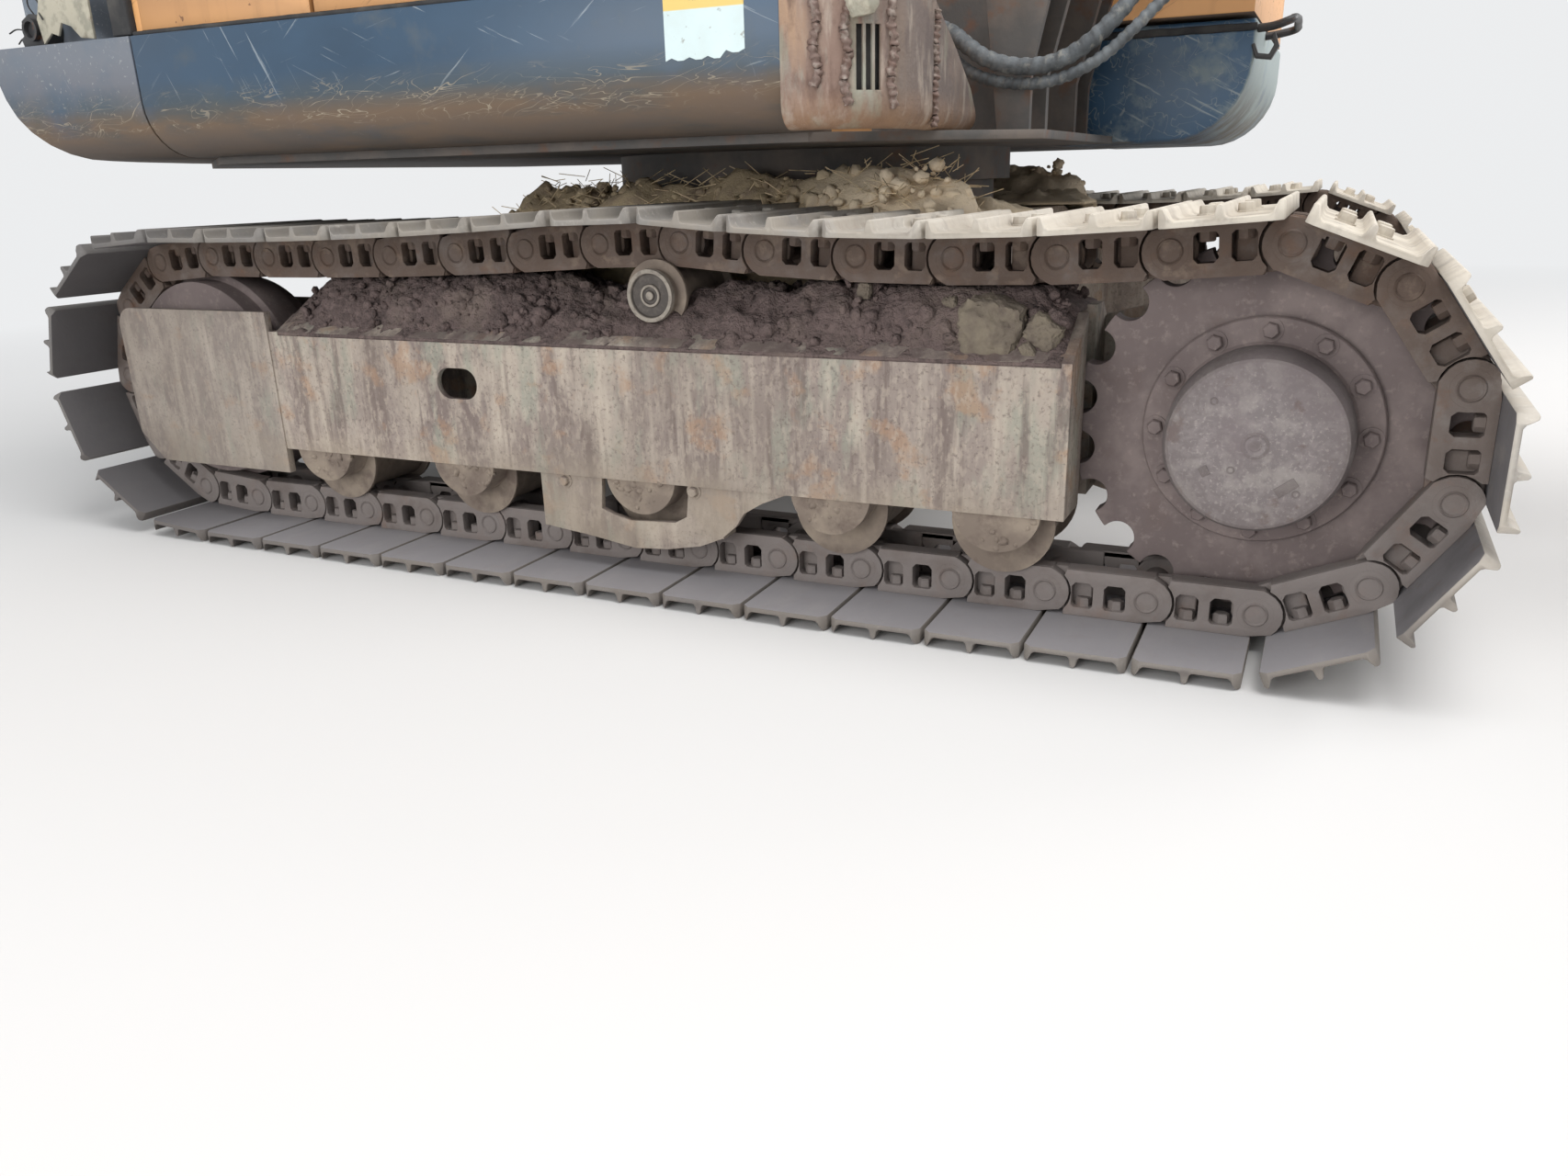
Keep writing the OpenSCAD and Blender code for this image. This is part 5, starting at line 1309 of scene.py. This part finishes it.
def wrapped_tube(name, points, radius, wrap, turn_pitch, sides=20, step=0.002):
    """A tube with a spiral ridge of its own, as of a hose with a winding round it."""
    verts = []
    places = route_frames(points, step)
    for gone, point, _, side, up in places:
        for j in range(sides):
            turn = math.tau * j / sides
            ridge = math.cos(turn - math.tau * gone / turn_pitch)
            reach = radius - wrap + wrap * min(1.0, max(0.0, 0.55 + 1.4 * ridge))
            verts.append(point + side * math.cos(turn) * reach + up * math.sin(turn) * reach)
    faces = [[ring + j, ring + (j + 1) % sides, ring + sides + (j + 1) % sides, ring + sides + j]
             for ring in range(0, (len(places) - 1) * sides, sides) for j in range(sides)]
    faces += [list(range(sides))[::-1], [(len(places) - 1) * sides + j for j in range(sides)]]
    return smooth(edit_mesh(new_object(name, verts, [], faces), FACE_OUT))


def build_hoses():
    """The two wound hoses of the boom cylinders."""
    for name, (diameter, route) in HOSE_ROUTES.items():
        path = [at(*point) for point in route]
        hose = wrapped_tube(name + "_wound", path, diameter / 2, 0.0014, diameter * 0.75)
        hose.data.materials.append(FINISHES["hose_wrap"])
        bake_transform(hose)
        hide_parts(name)


# House


def build_band():
    """Lower band of the house: side plates, counterweight, rusty front corner, cab base and seals."""
    softened("side_skirts", 0.0015, "slate_paint")
    softened("counterweight", 0.008, "slate_paint", 3)
    roll_under(softened("front_corner", 0.0015, "corner_rust"), 0.034, at(CORNER[0], -0.60, 0))
    softened("cab_base", 0.006, "cab_base_paint", 3)
    softened("swing_frame", 0.002, "deck_grime")
    build_label()
    build_seals()
    build_corner_welds()
    build_broken_lamp()


def roll_under(obj, radius, centre):
    """Turns the lower edge of a plate inwards, towards an upright line through the centre."""
    base = min(vert.co.z for vert in obj.data.vertices)
    heights = [base + radius * (1 - math.cos(math.radians(turn))) for turn in range(15, 91, 15)]
    edit_mesh(obj, *[(bpy.ops.mesh.bisect, {"plane_co": (0, 0, height), "plane_no": (0, 0, 1)})
                     for height in heights])
    for vert in obj.data.vertices:
        rise = min(1.0, (vert.co.z - base) / radius)
        inwards = Vector((centre.x - vert.co.x, centre.y - vert.co.y, 0)).normalized()
        vert.co += inwards * radius * (1 - math.sqrt(max(0.0, 1 - (1 - rise) ** 2)))
    soften(obj, 0.0)


def build_label():
    """The blank label on the right side: a thin plate with a torn lower edge."""
    left, right, low, top = 0.172, 0.302, 0.845, 0.936
    torn = [(left + (right - left) * i / 13, low + 0.004 * (i % 3 == 1) + 0.006 * (i > 9)) for i in range(14)]
    plate = side_plate("blank_label", torn + [(right, top), (left, top)], SKIRT_Y - 0.0009, SKIRT_Y + 0.0005)
    dress(soften(plate, 0.0003, 1), "blank_label", "house", "slate_paint")


def ragged(name, low, high, seed, amount):
    """A strip of rubber with a worn, wavy surface."""
    strip = block(name, low, high)
    finish_modifier(strip, "REMESH", mode="VOXEL", voxel_size=0.004)
    noise.seed_set(seed)
    for vert in strip.data.vertices:
        shift = noise.noise_vector(vert.co * 25)
        vert.co += Vector((0, shift.y, shift.z)) * amount
    return smooth(strip)


def build_seals():
    """Rubber seals under the doors, behind them, and along the cab base, with the bent bracket at its end."""
    under = ragged("door_seal_right", at(-0.944, -0.9475, 0.9515), at(0.096, -0.934, 0.9605), 1, 0.0016)
    upright = ragged("post_seal_right", at(-0.998, -0.944, 0.955), at(-0.949, -0.925, 1.545), 2, 0.0014)
    cab = ragged("cab_seal", at(0.500, 0.0915, 0.930), at(0.905, 0.102, 0.944), 3, 0.0012)
    dress(join("door_seals_right", [under, upright]), "rubber", "house", "orange_paint")
    under = ragged("door_seal_left", at(-0.944, 0.934, 0.9515), at(-0.644, 0.9475, 0.9605), 4, 0.0016)
    dress(under, "rubber", "house", "orange_paint")
    dress(cab, "rubber", "house", "slate_paint")
    bent = [(0.896, 0.905), (0.905, 0.880), (0.935, 0.876), (0.948, 0.900), (0.938, 0.925), (0.932, 0.922),
            (0.938, 0.902), (0.930, 0.886), (0.910, 0.889), (0.902, 0.908)]
    bracket = side_plate("bent_bracket", bent, 0.096, 0.118)
    dress(soften(bracket, 0.0015), "black_paint", "house", "slate_paint")
    bar = [at(0.905, 0.115, 0.935), at(0.935, 0.105, 0.937), at(0.962, 0.104, 0.945), at(0.967, 0.140, 0.952),
           at(0.967, 0.320, 0.955), at(0.962, 0.352, 0.950), at(0.935, 0.355, 0.944), at(0.903, 0.355, 0.940)]
    dress(tube("cab_step_bar", bar, 0.008), "black_paint", "house", "slate_paint")


def on_corner(turn, reach, z=0.0):
    """A point beside the front corner, turn radians round it from the side towards the front."""
    return at(CORNER[0] + reach * math.sin(turn), CORNER[1] - reach * math.cos(turn), z)


def set_on_corner(obj, turn, reach):
    """Stands an object that is drawn at the origin on the front corner."""
    obj.data.transform(Matrix.Translation(on_corner(turn, reach)) @ Matrix.Rotation(turn, 4, "Z"))
    return obj


def weld_bead(name, points, radius, seed):
    """A coarse bead of weld along points."""
    bead = wrapped_tube(name, points, radius, radius * 0.35, radius * 1.5, 10, radius * 0.3)
    noise.seed_set(seed)
    for vert in bead.data.vertices:
        vert.co += noise.noise_vector(vert.co * 160) * radius * 0.45
    return bead


def build_corner_welds():
    """Old weld beads, the cut off bracket and the screen behind the vents of the rusty corner."""
    beads = []
    for turn, low, high in ((18, 0.800, 0.935), (33, 0.775, 0.925), (58, 0.772, 0.950)):
        points = [on_corner(math.radians(turn) + 0.02 * math.sin(i * 1.3 + turn), CORNER_R + 0.001,
                            low + (high - low) * i / 11) for i in range(12)]
        beads.append(weld_bead("corner_weld", points, 0.0075, turn))
    points = [at(0.521, -0.752 + 0.002 * math.sin(i * 1.7), 0.748 + 0.018 * i) for i in range(10)]
    beads.append(weld_bead("corner_weld", points, 0.0065, 7))
    dress(join("corner_welds", beads), "weld", "house", "rusted_paint")
    face = [(-0.021, 0.950), (-0.021, 0.898), (-0.012, 0.886), (0.017, 0.891), (0.024, 0.902), (0.024, 0.950)]
    lug = prism("cut_bracket", face, -0.016, 0.012)
    cut(lug, [rod("hole", (0.004, -0.05, 0.926), (0.004, 0.05, 0.926), 0.006)])
    set_on_corner(lug, math.radians(33) + 0.12, CORNER_R)
    dress(soften(lug, 0.002), "bare_filler", "house", "rusted_paint")
    screen = block("vent_screen", (-0.05, 0, 0.785), (0.05, 0.003, 0.890))
    set_on_corner(screen, math.radians(45), CORNER_R - 0.016)
    dress(soften(screen, 0.0), "rubber", "house", "black_paint")


def build_broken_lamp():
    """The broken rear lamp with its loose ends of wire, and the torn edge of the hood beside it."""
    torn = [(-1.205, 0.956), (-1.178, 0.974), (-1.160, 0.968), (-1.146, 0.990), (-1.120, 0.982),
            (-1.098, 0.961), (-1.062, 0.957), (-1.060, 1.055), (-1.082, 1.044), (-1.104, 1.062),
            (-1.135, 1.050), (-1.168, 1.060), (-1.196, 1.035), (-1.212, 1.000)]
    edge = side_plate("torn_edge", torn, -0.9345, -0.929)
    dress(soften(edge, 0.0012), "bare_filler", "house", "orange_paint")
    shell = [(-1.292, 0.955), (-1.226, 0.955), (-1.216, 0.985), (-1.222, 1.010), (-1.262, 1.016),
             (-1.288, 1.004), (-1.280, 0.984), (-1.298, 0.972)]
    body = side_plate("broken_lamp", shell, -0.915, -0.862)
    profile = [(0, 0.014), (0, 0.020), (-0.012, 0.021), (-0.012, 0.015), (-0.004, 0.013), (-0.004, 0.0)]
    socket = turned("lamp_socket", profile, at(-1.252, -0.914, 0.986), "Y", 20)
    lamp = join("broken_lamp", [soften(body, 0.003), soften(socket, 0.0)])
    dress(lamp, "black_paint", "house", "black_paint")
    ends = (((-1.262, -0.900, 1.012), (-1.270, -0.905, 1.034), (-1.256, -0.908, 1.046),
             (-1.240, -0.905, 1.036), (-1.243, -0.900, 1.014)),
            ((-1.290, -0.905, 0.988), (-1.308, -0.912, 0.991), (-1.324, -0.918, 0.984)),
            ((-1.291, -0.895, 0.978), (-1.312, -0.900, 0.976), (-1.322, -0.905, 0.966)),
            ((-1.222, -0.905, 1.004), (-1.204, -0.932, 1.012), (-1.190, -0.938, 0.998)))
    wires = [tube("lamp_wire", [at(*point) for point in points], 0.0014, 8) for points in ends]
    dress(join("lamp_wire_ends", wires), "rubber", "house", "black_plastic")


def build_covers():
    """Hood, tank box, service doors with their latches, engine, exhaust, handrails, lamps and mirror."""
    for name in ("engine_hood", "tank_box", "service_door", "engine_door", "left_door"):
        softened(name, 0.004, "orange_paint")
    softened("engine", 0.004, "deck_grime")
    softened("exhaust", 0.002, "exhaust_rust")
    softened("handrails", 0.002, "orange_paint")
    softened("work_lamps", 0.006, "black_plastic")
    softened("side_mirror", 0.004, "black_plastic")
    for body, x, y in (("service_door", -0.572, -0.948), ("engine_door", -0.462, -0.948),
                       ("left_door", -0.692, 0.948)):
        dress(latch("latch_" + body, x, y, LATCH_Z), "black_plastic", body, "black_plastic")


def latch(name, x, y, z):
    """A flush door latch: a rounded plate with its paddle and lock."""
    out = math.copysign(1, y)
    half, high, corner = 0.048, 0.020, 0.012
    outline = []
    for start, a, b in ((180, -half, -high), (270, half, -high), (0, half, high), (90, -half, high)):
        outline += arc((x + a, z + b), corner, start, start + 90, 4)
    plate = side_plate(name, outline, y - 0.001 * out, y + 0.005 * out)
    paddle = side_plate(name, [(x - 0.040, z - 0.018), (x + 0.012, z - 0.018), (x + 0.012, z + 0.018),
                               (x - 0.040, z + 0.018)], y + 0.004 * out, y + 0.010 * out)
    lock = turned(name, [(0.004 * out, 0), (0.012 * out, 0), (0.012 * out, 0.003), (0.0105 * out, 0.004),
                         (0.0105 * out, 0.011), (0.004 * out, 0.012)], at(x + 0.034, y, z), "Y", 24)
    return join(name, [soften(plate, 0.0015), soften(paddle, 0.003, 3), soften(lock, 0.0008)])


def build_cab():
    """Cab shell, door, console, seat and fittings."""
    softened("cab_shell", 0.010, "orange_paint", 3)
    softened("cab_door", 0.005, "orange_paint")
    softened("control_console", 0.006, "black_plastic")
    build_seat()
    build_cab_fittings()


def cushion(name, size, crown, seams, place):
    """A stuffed cushion lying in the XY plane: crowned, drawn in between its corners, with sewn channels."""
    bpy.ops.mesh.primitive_cube_add(size=2.0, location=(0, 0, 0))
    pad = edit_mesh(added(name), (bpy.ops.mesh.subdivide, {"number_cuts": 31}))
    half = Vector(size) / 2
    for vert in pad.data.vertices:
        a, b, c = vert.co
        rim = max(abs(a), abs(b))
        thick = (1 - 0.50 * rim ** 8) * (1 + crown * (1 - a * a) * (1 - b * b) * (c > 0))
        for seam in seams:
            thick -= 0.16 * math.exp(-((b - seam) / 0.035) ** 2) * (c > 0) * (1 - rim ** 6)
        draw = 1 - 0.035 * (1 - (b if abs(a) > abs(b) else a) ** 2) * rim ** 4
        bulge = 1 - 0.05 * c * c * rim ** 6
        wrinkle = 0.0015 * noise.noise(Vector((a * 5, b * 5, c)))
        vert.co = (a * half.x * draw * bulge, b * half.y * draw * bulge, c * half.z * thick + wrinkle)
    finish_modifier(pad, "SUBSURF", levels=1, render_levels=1)
    edge = [Vector((x * half.x * 0.985, y * half.y * 0.985, 0)) for x, y in
            ((-1, -0.9), (-0.965, 0), (-1, 0.9), (-0.95, 0.985), (0, 0.955), (0.95, 0.985),
             (1, 0.9), (0.965, 0), (1, -0.9), (0.95, -0.985), (0, -0.955), (-0.95, -0.985))]
    piping = tube(name + "_piping", edge, 0.0045, 8, True)
    piece = join(name, [smooth(pad), piping])
    piece.data.transform(place)
    return piece


def build_seat():
    """Seat on its box: a cushion and a raked backrest in worn cloth."""
    base = block("seat_base", at(-0.098, 0.352, 1.002), at(0.248, 0.658, 1.262))
    pan = block("seat_pan", at(-0.145, 0.290, 1.258), at(0.318, 0.720, 1.285))
    rest = [(-0.150, 1.262), (-0.125, 1.262), (-0.190, 1.900), (-0.215, 1.900)]
    back_plate = side_plate("seat_back", rest, 0.300, 0.710)
    shell = join("seat_frame", [soften(base, 0.012, 3), soften(pan, 0.008), soften(back_plate, 0.008)])
    dress(shell, "black_plastic", "house", "seat_fabric", "operator_seat")
    seat = cushion("seat_cushion", (0.465, 0.460, 0.095), 0.16, (-0.5, 0.5),
                   Matrix.Translation(at(0.095, 0.505, 1.328)))
    rake = Matrix.Rotation(math.radians(-84), 4, "Y")
    back = cushion("seat_backrest", (0.580, 0.440, 0.090), 0.18, (-0.45, 0.45),
                   Matrix.Translation(at(-0.118, 0.505, 1.672)) @ rake)
    for pad in (seat, back):
        dress(pad, "seat_cloth", "house", "seat_fabric")


def build_cab_fittings():
    """Door handle, lamp glasses, wiper and grab rail of the cab."""
    outline = [(0.500, 1.392), (0.585, 1.392), (0.585, 1.436), (0.500, 1.436)]
    plate = side_plate("cab_handle", outline, 0.949, 0.956)
    line = ((0.512, 0.952), (0.515, 0.964), (0.545, 0.967), (0.572, 0.964), (0.575, 0.952))
    grip = tube("cab_grip", [at(x, y, 1.414) for x, y in line], 0.005)
    dress(join("cab_handle", [soften(plate, 0.003), grip]), "black_plastic", "cab_door", "black_plastic")
    profile = [(0.0, 0), (0.0045, 0), (0.0035, 0.022), (0.0, 0.027), (-0.004, 0.027)]
    lenses = [turned("lamp_lens", profile, at(0.6675, y, 2.642), "X", 32) for y in (0.210, 0.800)]
    dress(soften(join("lamp_lenses", lenses), 0.0), "lamp_lens", "house", "black_plastic")
    arm = [at(0.902, 0.300, 1.500), at(0.908, 0.330, 1.640), at(0.906, 0.400, 1.900)]
    blade = [at(0.905, 0.375, 1.660), at(0.906, 0.400, 1.900), at(0.904, 0.425, 2.140)]
    profile = [(-0.004, 0), (0.012, 0), (0.012, 0.012), (0.009, 0.016), (-0.004, 0.016)]
    wiper = [tube("wiper_arm", arm, 0.004), tube("wiper_blade", blade, 0.005),
             turned("wiper_hub", profile, arm[0] - Vector((0.003, 0, 0)), "X", 20)]
    dress(join("wiper", wiper), "black_plastic", "house", "black_plastic")
    rail = [at(0.690, 0.949, 1.450), at(0.690, 0.975, 1.475), at(0.690, 0.978, 1.560),
            at(0.680, 0.978, 1.900), at(0.680, 0.975, 1.985), at(0.680, 0.949, 2.010)]
    dress(tube("cab_rail", rail, 0.010), "black_paint", "house", "black_paint")


# Boom, arm and bucket


def build_boom():
    """Boom with its pipes, arm, bucket and links with rounded edges."""
    softened("boom", 0.005, "orange_paint")
    softened("arm", 0.005, "orange_paint")
    softened("bucket", 0.003, "bucket_wear")
    softened("side_links", 0.003, "cast_steel")
    build_boom_pipes()
    softened("bucket_link", 0.003, "cast_steel")


def on_boom(x, y, z):
    """A point on the boom: x along it from its foot pin, z upwards from that line."""
    return at(FOOT_PIN[0] + x * math.cos(BOOM_TURN) - z * math.sin(BOOM_TURN), BOOM_Y + y,
              FOOT_PIN[1] + x * math.sin(BOOM_TURN) + z * math.cos(BOOM_TURN))


def build_boom_pipes():
    """Two steel pipes on each side of the boom, in clamps, with unions at their ends."""
    line = ((0.40, 0.150), (0.52, 0.222), (1.13, 0.540), (1.30, 0.592), (1.46, 0.612), (1.64, 0.608),
            (1.80, 0.588), (2.39, 0.362), (2.85, 0.182))
    union = [(-0.022, 0), (-0.022, 0.013), (0.0, 0.016), (0.022, 0.016), (0.024, 0.011), (0.024, 0)]
    spacing = 0.034
    pipes = []
    clamps = []
    for side in (-1, 1):
        y = side * (BOOM_HALF + 0.014)
        for lower in (0.0, spacing):
            points = [on_boom(x, y, z - lower) for x, z in line]
            pipes.append(tube("boom_pipe", points, 0.0095))
            for end, towards in ((points[0], points[1]), (points[-1], points[-2])):
                pipes.append(turned("boom_union", union, end, towards - end, 6))
        for x, z, turn in ((0.62, 0.274, 27.5), (1.02, 0.483, 27.5), (1.46, 0.612, 0), (1.95, 0.530, -21),
                           (2.35, 0.377, -21), (2.75, 0.221, -21)):
            clamp = block("pipe_clamp", (-0.018, -0.013, -0.052), (0.018, 0.013, 0.018))
            clamp.data.transform(Matrix.Translation(on_boom(x, y, z))
                                 @ Matrix.Rotation(-math.radians(turn) - BOOM_TURN, 4, "Y"))
            clamps.append(soften(clamp, 0.003))
    dress(join("boom_pipes", pipes), "cast_steel", "boom", "dark_steel")
    dress(join("boom_pipe_clamps", clamps), "black_paint", "boom", "dark_steel")


def build_cylinders():
    """Cylinder tubes and rods."""
    for tubes, rods in (("boom_cylinder_tubes", "boom_cylinder_rods"),
                        ("arm_cylinder_tube", "arm_cylinder_rod"),
                        ("bucket_cylinder_tube", "bucket_cylinder_rod")):
        softened(tubes, 0.002, "black_paint")
        softened(rods, 0.0015, "rod_steel")


# Studio


def see_backdrop(tree, socket):
    """Feeds a socket with 1 for rays from the camera, and for what shiny surfaces and glass show."""
    path = tree.nodes.new("ShaderNodeLightPath")
    seen = None
    for name in ("Is Camera Ray", "Is Glossy Ray", "Is Transmission Ray"):
        if seen is None:
            seen = path.outputs[name]
            continue
        node = tree.nodes.new("ShaderNodeMath")
        node.operation = "MAXIMUM"
        tree.links.new(seen, node.inputs[0])
        tree.links.new(path.outputs[name], node.inputs[1])
        seen = node.outputs[0]
    tree.links.new(seen, socket)


def build_floor(backdrop):
    """A plain pale floor, which fades into the backdrop."""
    bpy.ops.mesh.primitive_circle_add(vertices=96, radius=60, fill_type="NGON", location=(0, 0, -0.0005))
    floor = added("floor")
    f = Finish("floor_pale", (0.66, 0.65, 0.64), 0.95)
    glow = f.add("ShaderNodeEmission")
    glow.inputs["Color"].default_value = backdrop
    far = f.add("ShaderNodeVectorMath", operation="LENGTH")
    f.tree.links.new(f.place.outputs["Object"], far.inputs[0])
    seen = f.add("ShaderNodeMath", operation="MULTIPLY")
    f.feed(seen.inputs[0], f.fade(far.outputs["Value"], 2.6, 7.0))
    see_backdrop(f.tree, seen.inputs[1])
    blend = f.add("ShaderNodeMixShader")
    f.tree.links.new(seen.outputs[0], blend.inputs[0])
    f.tree.links.new(f.shader.outputs[0], blend.inputs[1])
    f.tree.links.new(glow.outputs[0], blend.inputs[2])
    f.tree.links.new(blend.outputs[0], f.tree.nodes["Material Output"].inputs["Surface"])
    floor.data.materials.append(f.material)


def build_world(backdrop, ambient):
    """A soft sky that lights the machine, behind which the camera sees the backdrop."""
    world = bpy.data.worlds.new("studio")
    world.use_nodes = True
    back = world.node_tree.nodes["Background"]
    back.inputs["Color"].default_value = (0.90, 0.93, 0.96, 1.0)
    back.inputs["Strength"].default_value = ambient
    bright = world.node_tree.nodes.new("ShaderNodeBackground")
    bright.inputs["Color"].default_value = backdrop
    bright.inputs["Strength"].default_value = 1.0
    blend = world.node_tree.nodes.new("ShaderNodeMixShader")
    links = world.node_tree.links
    see_backdrop(world.node_tree, blend.inputs[0])
    links.new(back.outputs[0], blend.inputs[1])
    links.new(bright.outputs[0], blend.inputs[2])
    links.new(blend.outputs[0], world.node_tree.nodes["World Output"].inputs["Surface"])
    bpy.context.scene.world = world


def build_lights(key, fill):
    """Large soft lights: from above, from the camera's side and from behind."""
    lamps = (("key", (1.5, -1.5, 6.5), (-0.6, 0.2, 0.3), 4.5, key),
             ("fill", (-2.2, -7.0, 1.9), (-1.0, 0.0, 0.5), 4.0, fill),
             ("rim", (5.0, 4.5, 3.5), (-0.5, 0.0, 0.5), 3.0, key * 0.5))
    for name, place, target, size, watts in lamps:
        light = bpy.data.lights.new(name, "AREA")
        light.energy = watts
        light.size = size
        lamp = bpy.data.objects.new(name, light)
        bpy.context.collection.objects.link(lamp)
        lamp.location = place
        lamp.rotation_euler = (Vector(target) - Vector(place)).to_track_quat("-Z", "Y").to_euler()


def build_camera(focal_length):
    """The camera of the photograph."""
    lens = bpy.data.cameras.new("photo_view")
    lens.lens = focal_length
    lens.sensor_width = 36
    lens.sensor_fit = "HORIZONTAL"
    lens.clip_end = 200
    camera = bpy.data.objects.new("photo_view", lens)
    bpy.context.collection.objects.link(camera)
    back = Vector(CAMERA_BACK).normalized()
    up = back.cross(Vector(CAMERA_RIGHT).normalized()).normalized()
    turn = Matrix((up.cross(back), up, back)).transposed().to_4x4()
    camera.matrix_world = Matrix.Translation(at(*CAMERA_PLACE)) @ turn
    bpy.context.scene.camera = camera


def build_stage(studio):
    """Floor, sky, lights and camera of the plain studio."""
    backdrop = (*studio.backdrop, 1.0)
    build_floor(backdrop)
    build_world(backdrop, studio.ambient)
    build_lights(studio.key, studio.fill)
    build_camera(studio.lens)
    bpy.context.scene.view_settings.view_transform = "Standard"


# The add-on's operators


class EXCAVATOR_OT_finishes(bpy.types.Operator):
    """Makes the finishes of paint, dust, rust, rubber and glass"""

    bl_idname = "excavator.finishes"
    bl_label = "Finishes"

    def execute(self, context):
        make_finishes(context.scene.excavator_colours)
        for node in ("cab_glass", "door_glass"):
            glass = frame["nodes"][node]
            glass.data.materials.clear()
            glass.data.materials.append(FINISHES["glass"])
        return {"FINISHED"}


class EXCAVATOR_OT_tracks(bpy.types.Operator):
    """Builds the chains and shoes of both tracks"""

    bl_idname = "excavator.tracks"
    bl_label = "Tracks"

    def execute(self, context):
        build_tracks(context.scene.excavator_track)
        return {"FINISHED"}


class EXCAVATOR_OT_undercarriage(bpy.types.Operator):
    """Builds the track frames, rollers and car body"""

    bl_idname = "excavator.undercarriage"
    bl_label = "Undercarriage"

    def execute(self, context):
        build_frames()
        build_roller_ends()
        return {"FINISHED"}


class EXCAVATOR_OT_drives(bpy.types.Operator):
    """Builds the sprockets and final drives"""

    bl_idname = "excavator.drives"
    bl_label = "Drives"

    def execute(self, context):
        build_drives(context.scene.excavator_track)
        return {"FINISHED"}


class EXCAVATOR_OT_soil(bpy.types.Operator):
    """Lays caked soil and dry grass on the undercarriage"""

    bl_idname = "excavator.soil"
    bl_label = "Soil"

    def execute(self, context):
        build_soil(context.scene.excavator_track)
        build_heap()
        return {"FINISHED"}


class EXCAVATOR_OT_hoses(bpy.types.Operator):
    """Lays the hoses of the boom cylinders"""

    bl_idname = "excavator.hoses"
    bl_label = "Hoses"

    def execute(self, context):
        build_hoses()
        return {"FINISHED"}


class EXCAVATOR_OT_band(bpy.types.Operator):
    """Builds the lower band of the house"""

    bl_idname = "excavator.band"
    bl_label = "Lower band"

    def execute(self, context):
        build_band()
        return {"FINISHED"}


class EXCAVATOR_OT_covers(bpy.types.Operator):
    """Builds the hood, tank box and doors"""

    bl_idname = "excavator.covers"
    bl_label = "Covers"

    def execute(self, context):
        build_covers()
        return {"FINISHED"}


class EXCAVATOR_OT_cab(bpy.types.Operator):
    """Builds the cab and what stands in it"""

    bl_idname = "excavator.cab"
    bl_label = "Cab"

    def execute(self, context):
        build_cab()
        return {"FINISHED"}


class EXCAVATOR_OT_boom(bpy.types.Operator):
    """Builds boom, arm and bucket"""

    bl_idname = "excavator.boom"
    bl_label = "Boom, arm and bucket"

    def execute(self, context):
        build_boom()
        return {"FINISHED"}


class EXCAVATOR_OT_cylinders(bpy.types.Operator):
    """Builds the hydraulic cylinders"""

    bl_idname = "excavator.cylinders"
    bl_label = "Cylinders"

    def execute(self, context):
        build_cylinders()
        return {"FINISHED"}


class EXCAVATOR_OT_stage(bpy.types.Operator):
    """Sets up floor, lights and camera"""

    bl_idname = "excavator.stage"
    bl_label = "Stage"

    def execute(self, context):
        build_stage(context.scene.excavator_studio)
        return {"FINISHED"}


OPERATORS = (EXCAVATOR_OT_finishes, EXCAVATOR_OT_stage, EXCAVATOR_OT_hoses, EXCAVATOR_OT_tracks,
             EXCAVATOR_OT_undercarriage, EXCAVATOR_OT_drives, EXCAVATOR_OT_soil, EXCAVATOR_OT_band,
             EXCAVATOR_OT_covers, EXCAVATOR_OT_cab, EXCAVATOR_OT_boom, EXCAVATOR_OT_cylinders)


class EXCAVATOR_PT_panel(bpy.types.Panel):
    """Lists the steps that dress the excavator"""

    bl_label = "Excavator"
    bl_idname = "EXCAVATOR_PT_panel"
    bl_space_type = "VIEW_3D"
    bl_region_type = "UI"
    bl_category = "Excavator"

    def draw(self, context):
        for operator in OPERATORS:
            self.layout.operator(operator.bl_idname)
        for group in (context.scene.excavator_track, context.scene.excavator_colours,
                      context.scene.excavator_studio):
            for name in group.bl_rna.properties.keys():
                if name not in ("rna_type", "name"):
                    self.layout.prop(group, name)


CLASSES = (ExcavatorTrack, ExcavatorColours, ExcavatorStudio) + OPERATORS + (EXCAVATOR_PT_panel,)


def register():
    for cls in CLASSES:
        bpy.utils.register_class(cls)
    bpy.types.Scene.excavator_track = PointerProperty(type=ExcavatorTrack)
    bpy.types.Scene.excavator_colours = PointerProperty(type=ExcavatorColours)
    bpy.types.Scene.excavator_studio = PointerProperty(type=ExcavatorStudio)


def unregister():
    del bpy.types.Scene.excavator_track
    del bpy.types.Scene.excavator_colours
    del bpy.types.Scene.excavator_studio
    for cls in reversed(CLASSES):
        bpy.utils.unregister_class(cls)


def main():
    register()
    bpy.ops.excavator.finishes()
    bpy.ops.excavator.stage()
    bpy.ops.excavator.hoses()
    bpy.ops.excavator.tracks()
    bpy.ops.excavator.undercarriage()
    bpy.ops.excavator.drives()
    bpy.ops.excavator.soil()
    bpy.ops.excavator.band()
    bpy.ops.excavator.covers()
    bpy.ops.excavator.cab()
    bpy.ops.excavator.boom()
    bpy.ops.excavator.cylinders()


if __name__ == "__main__":
    main()
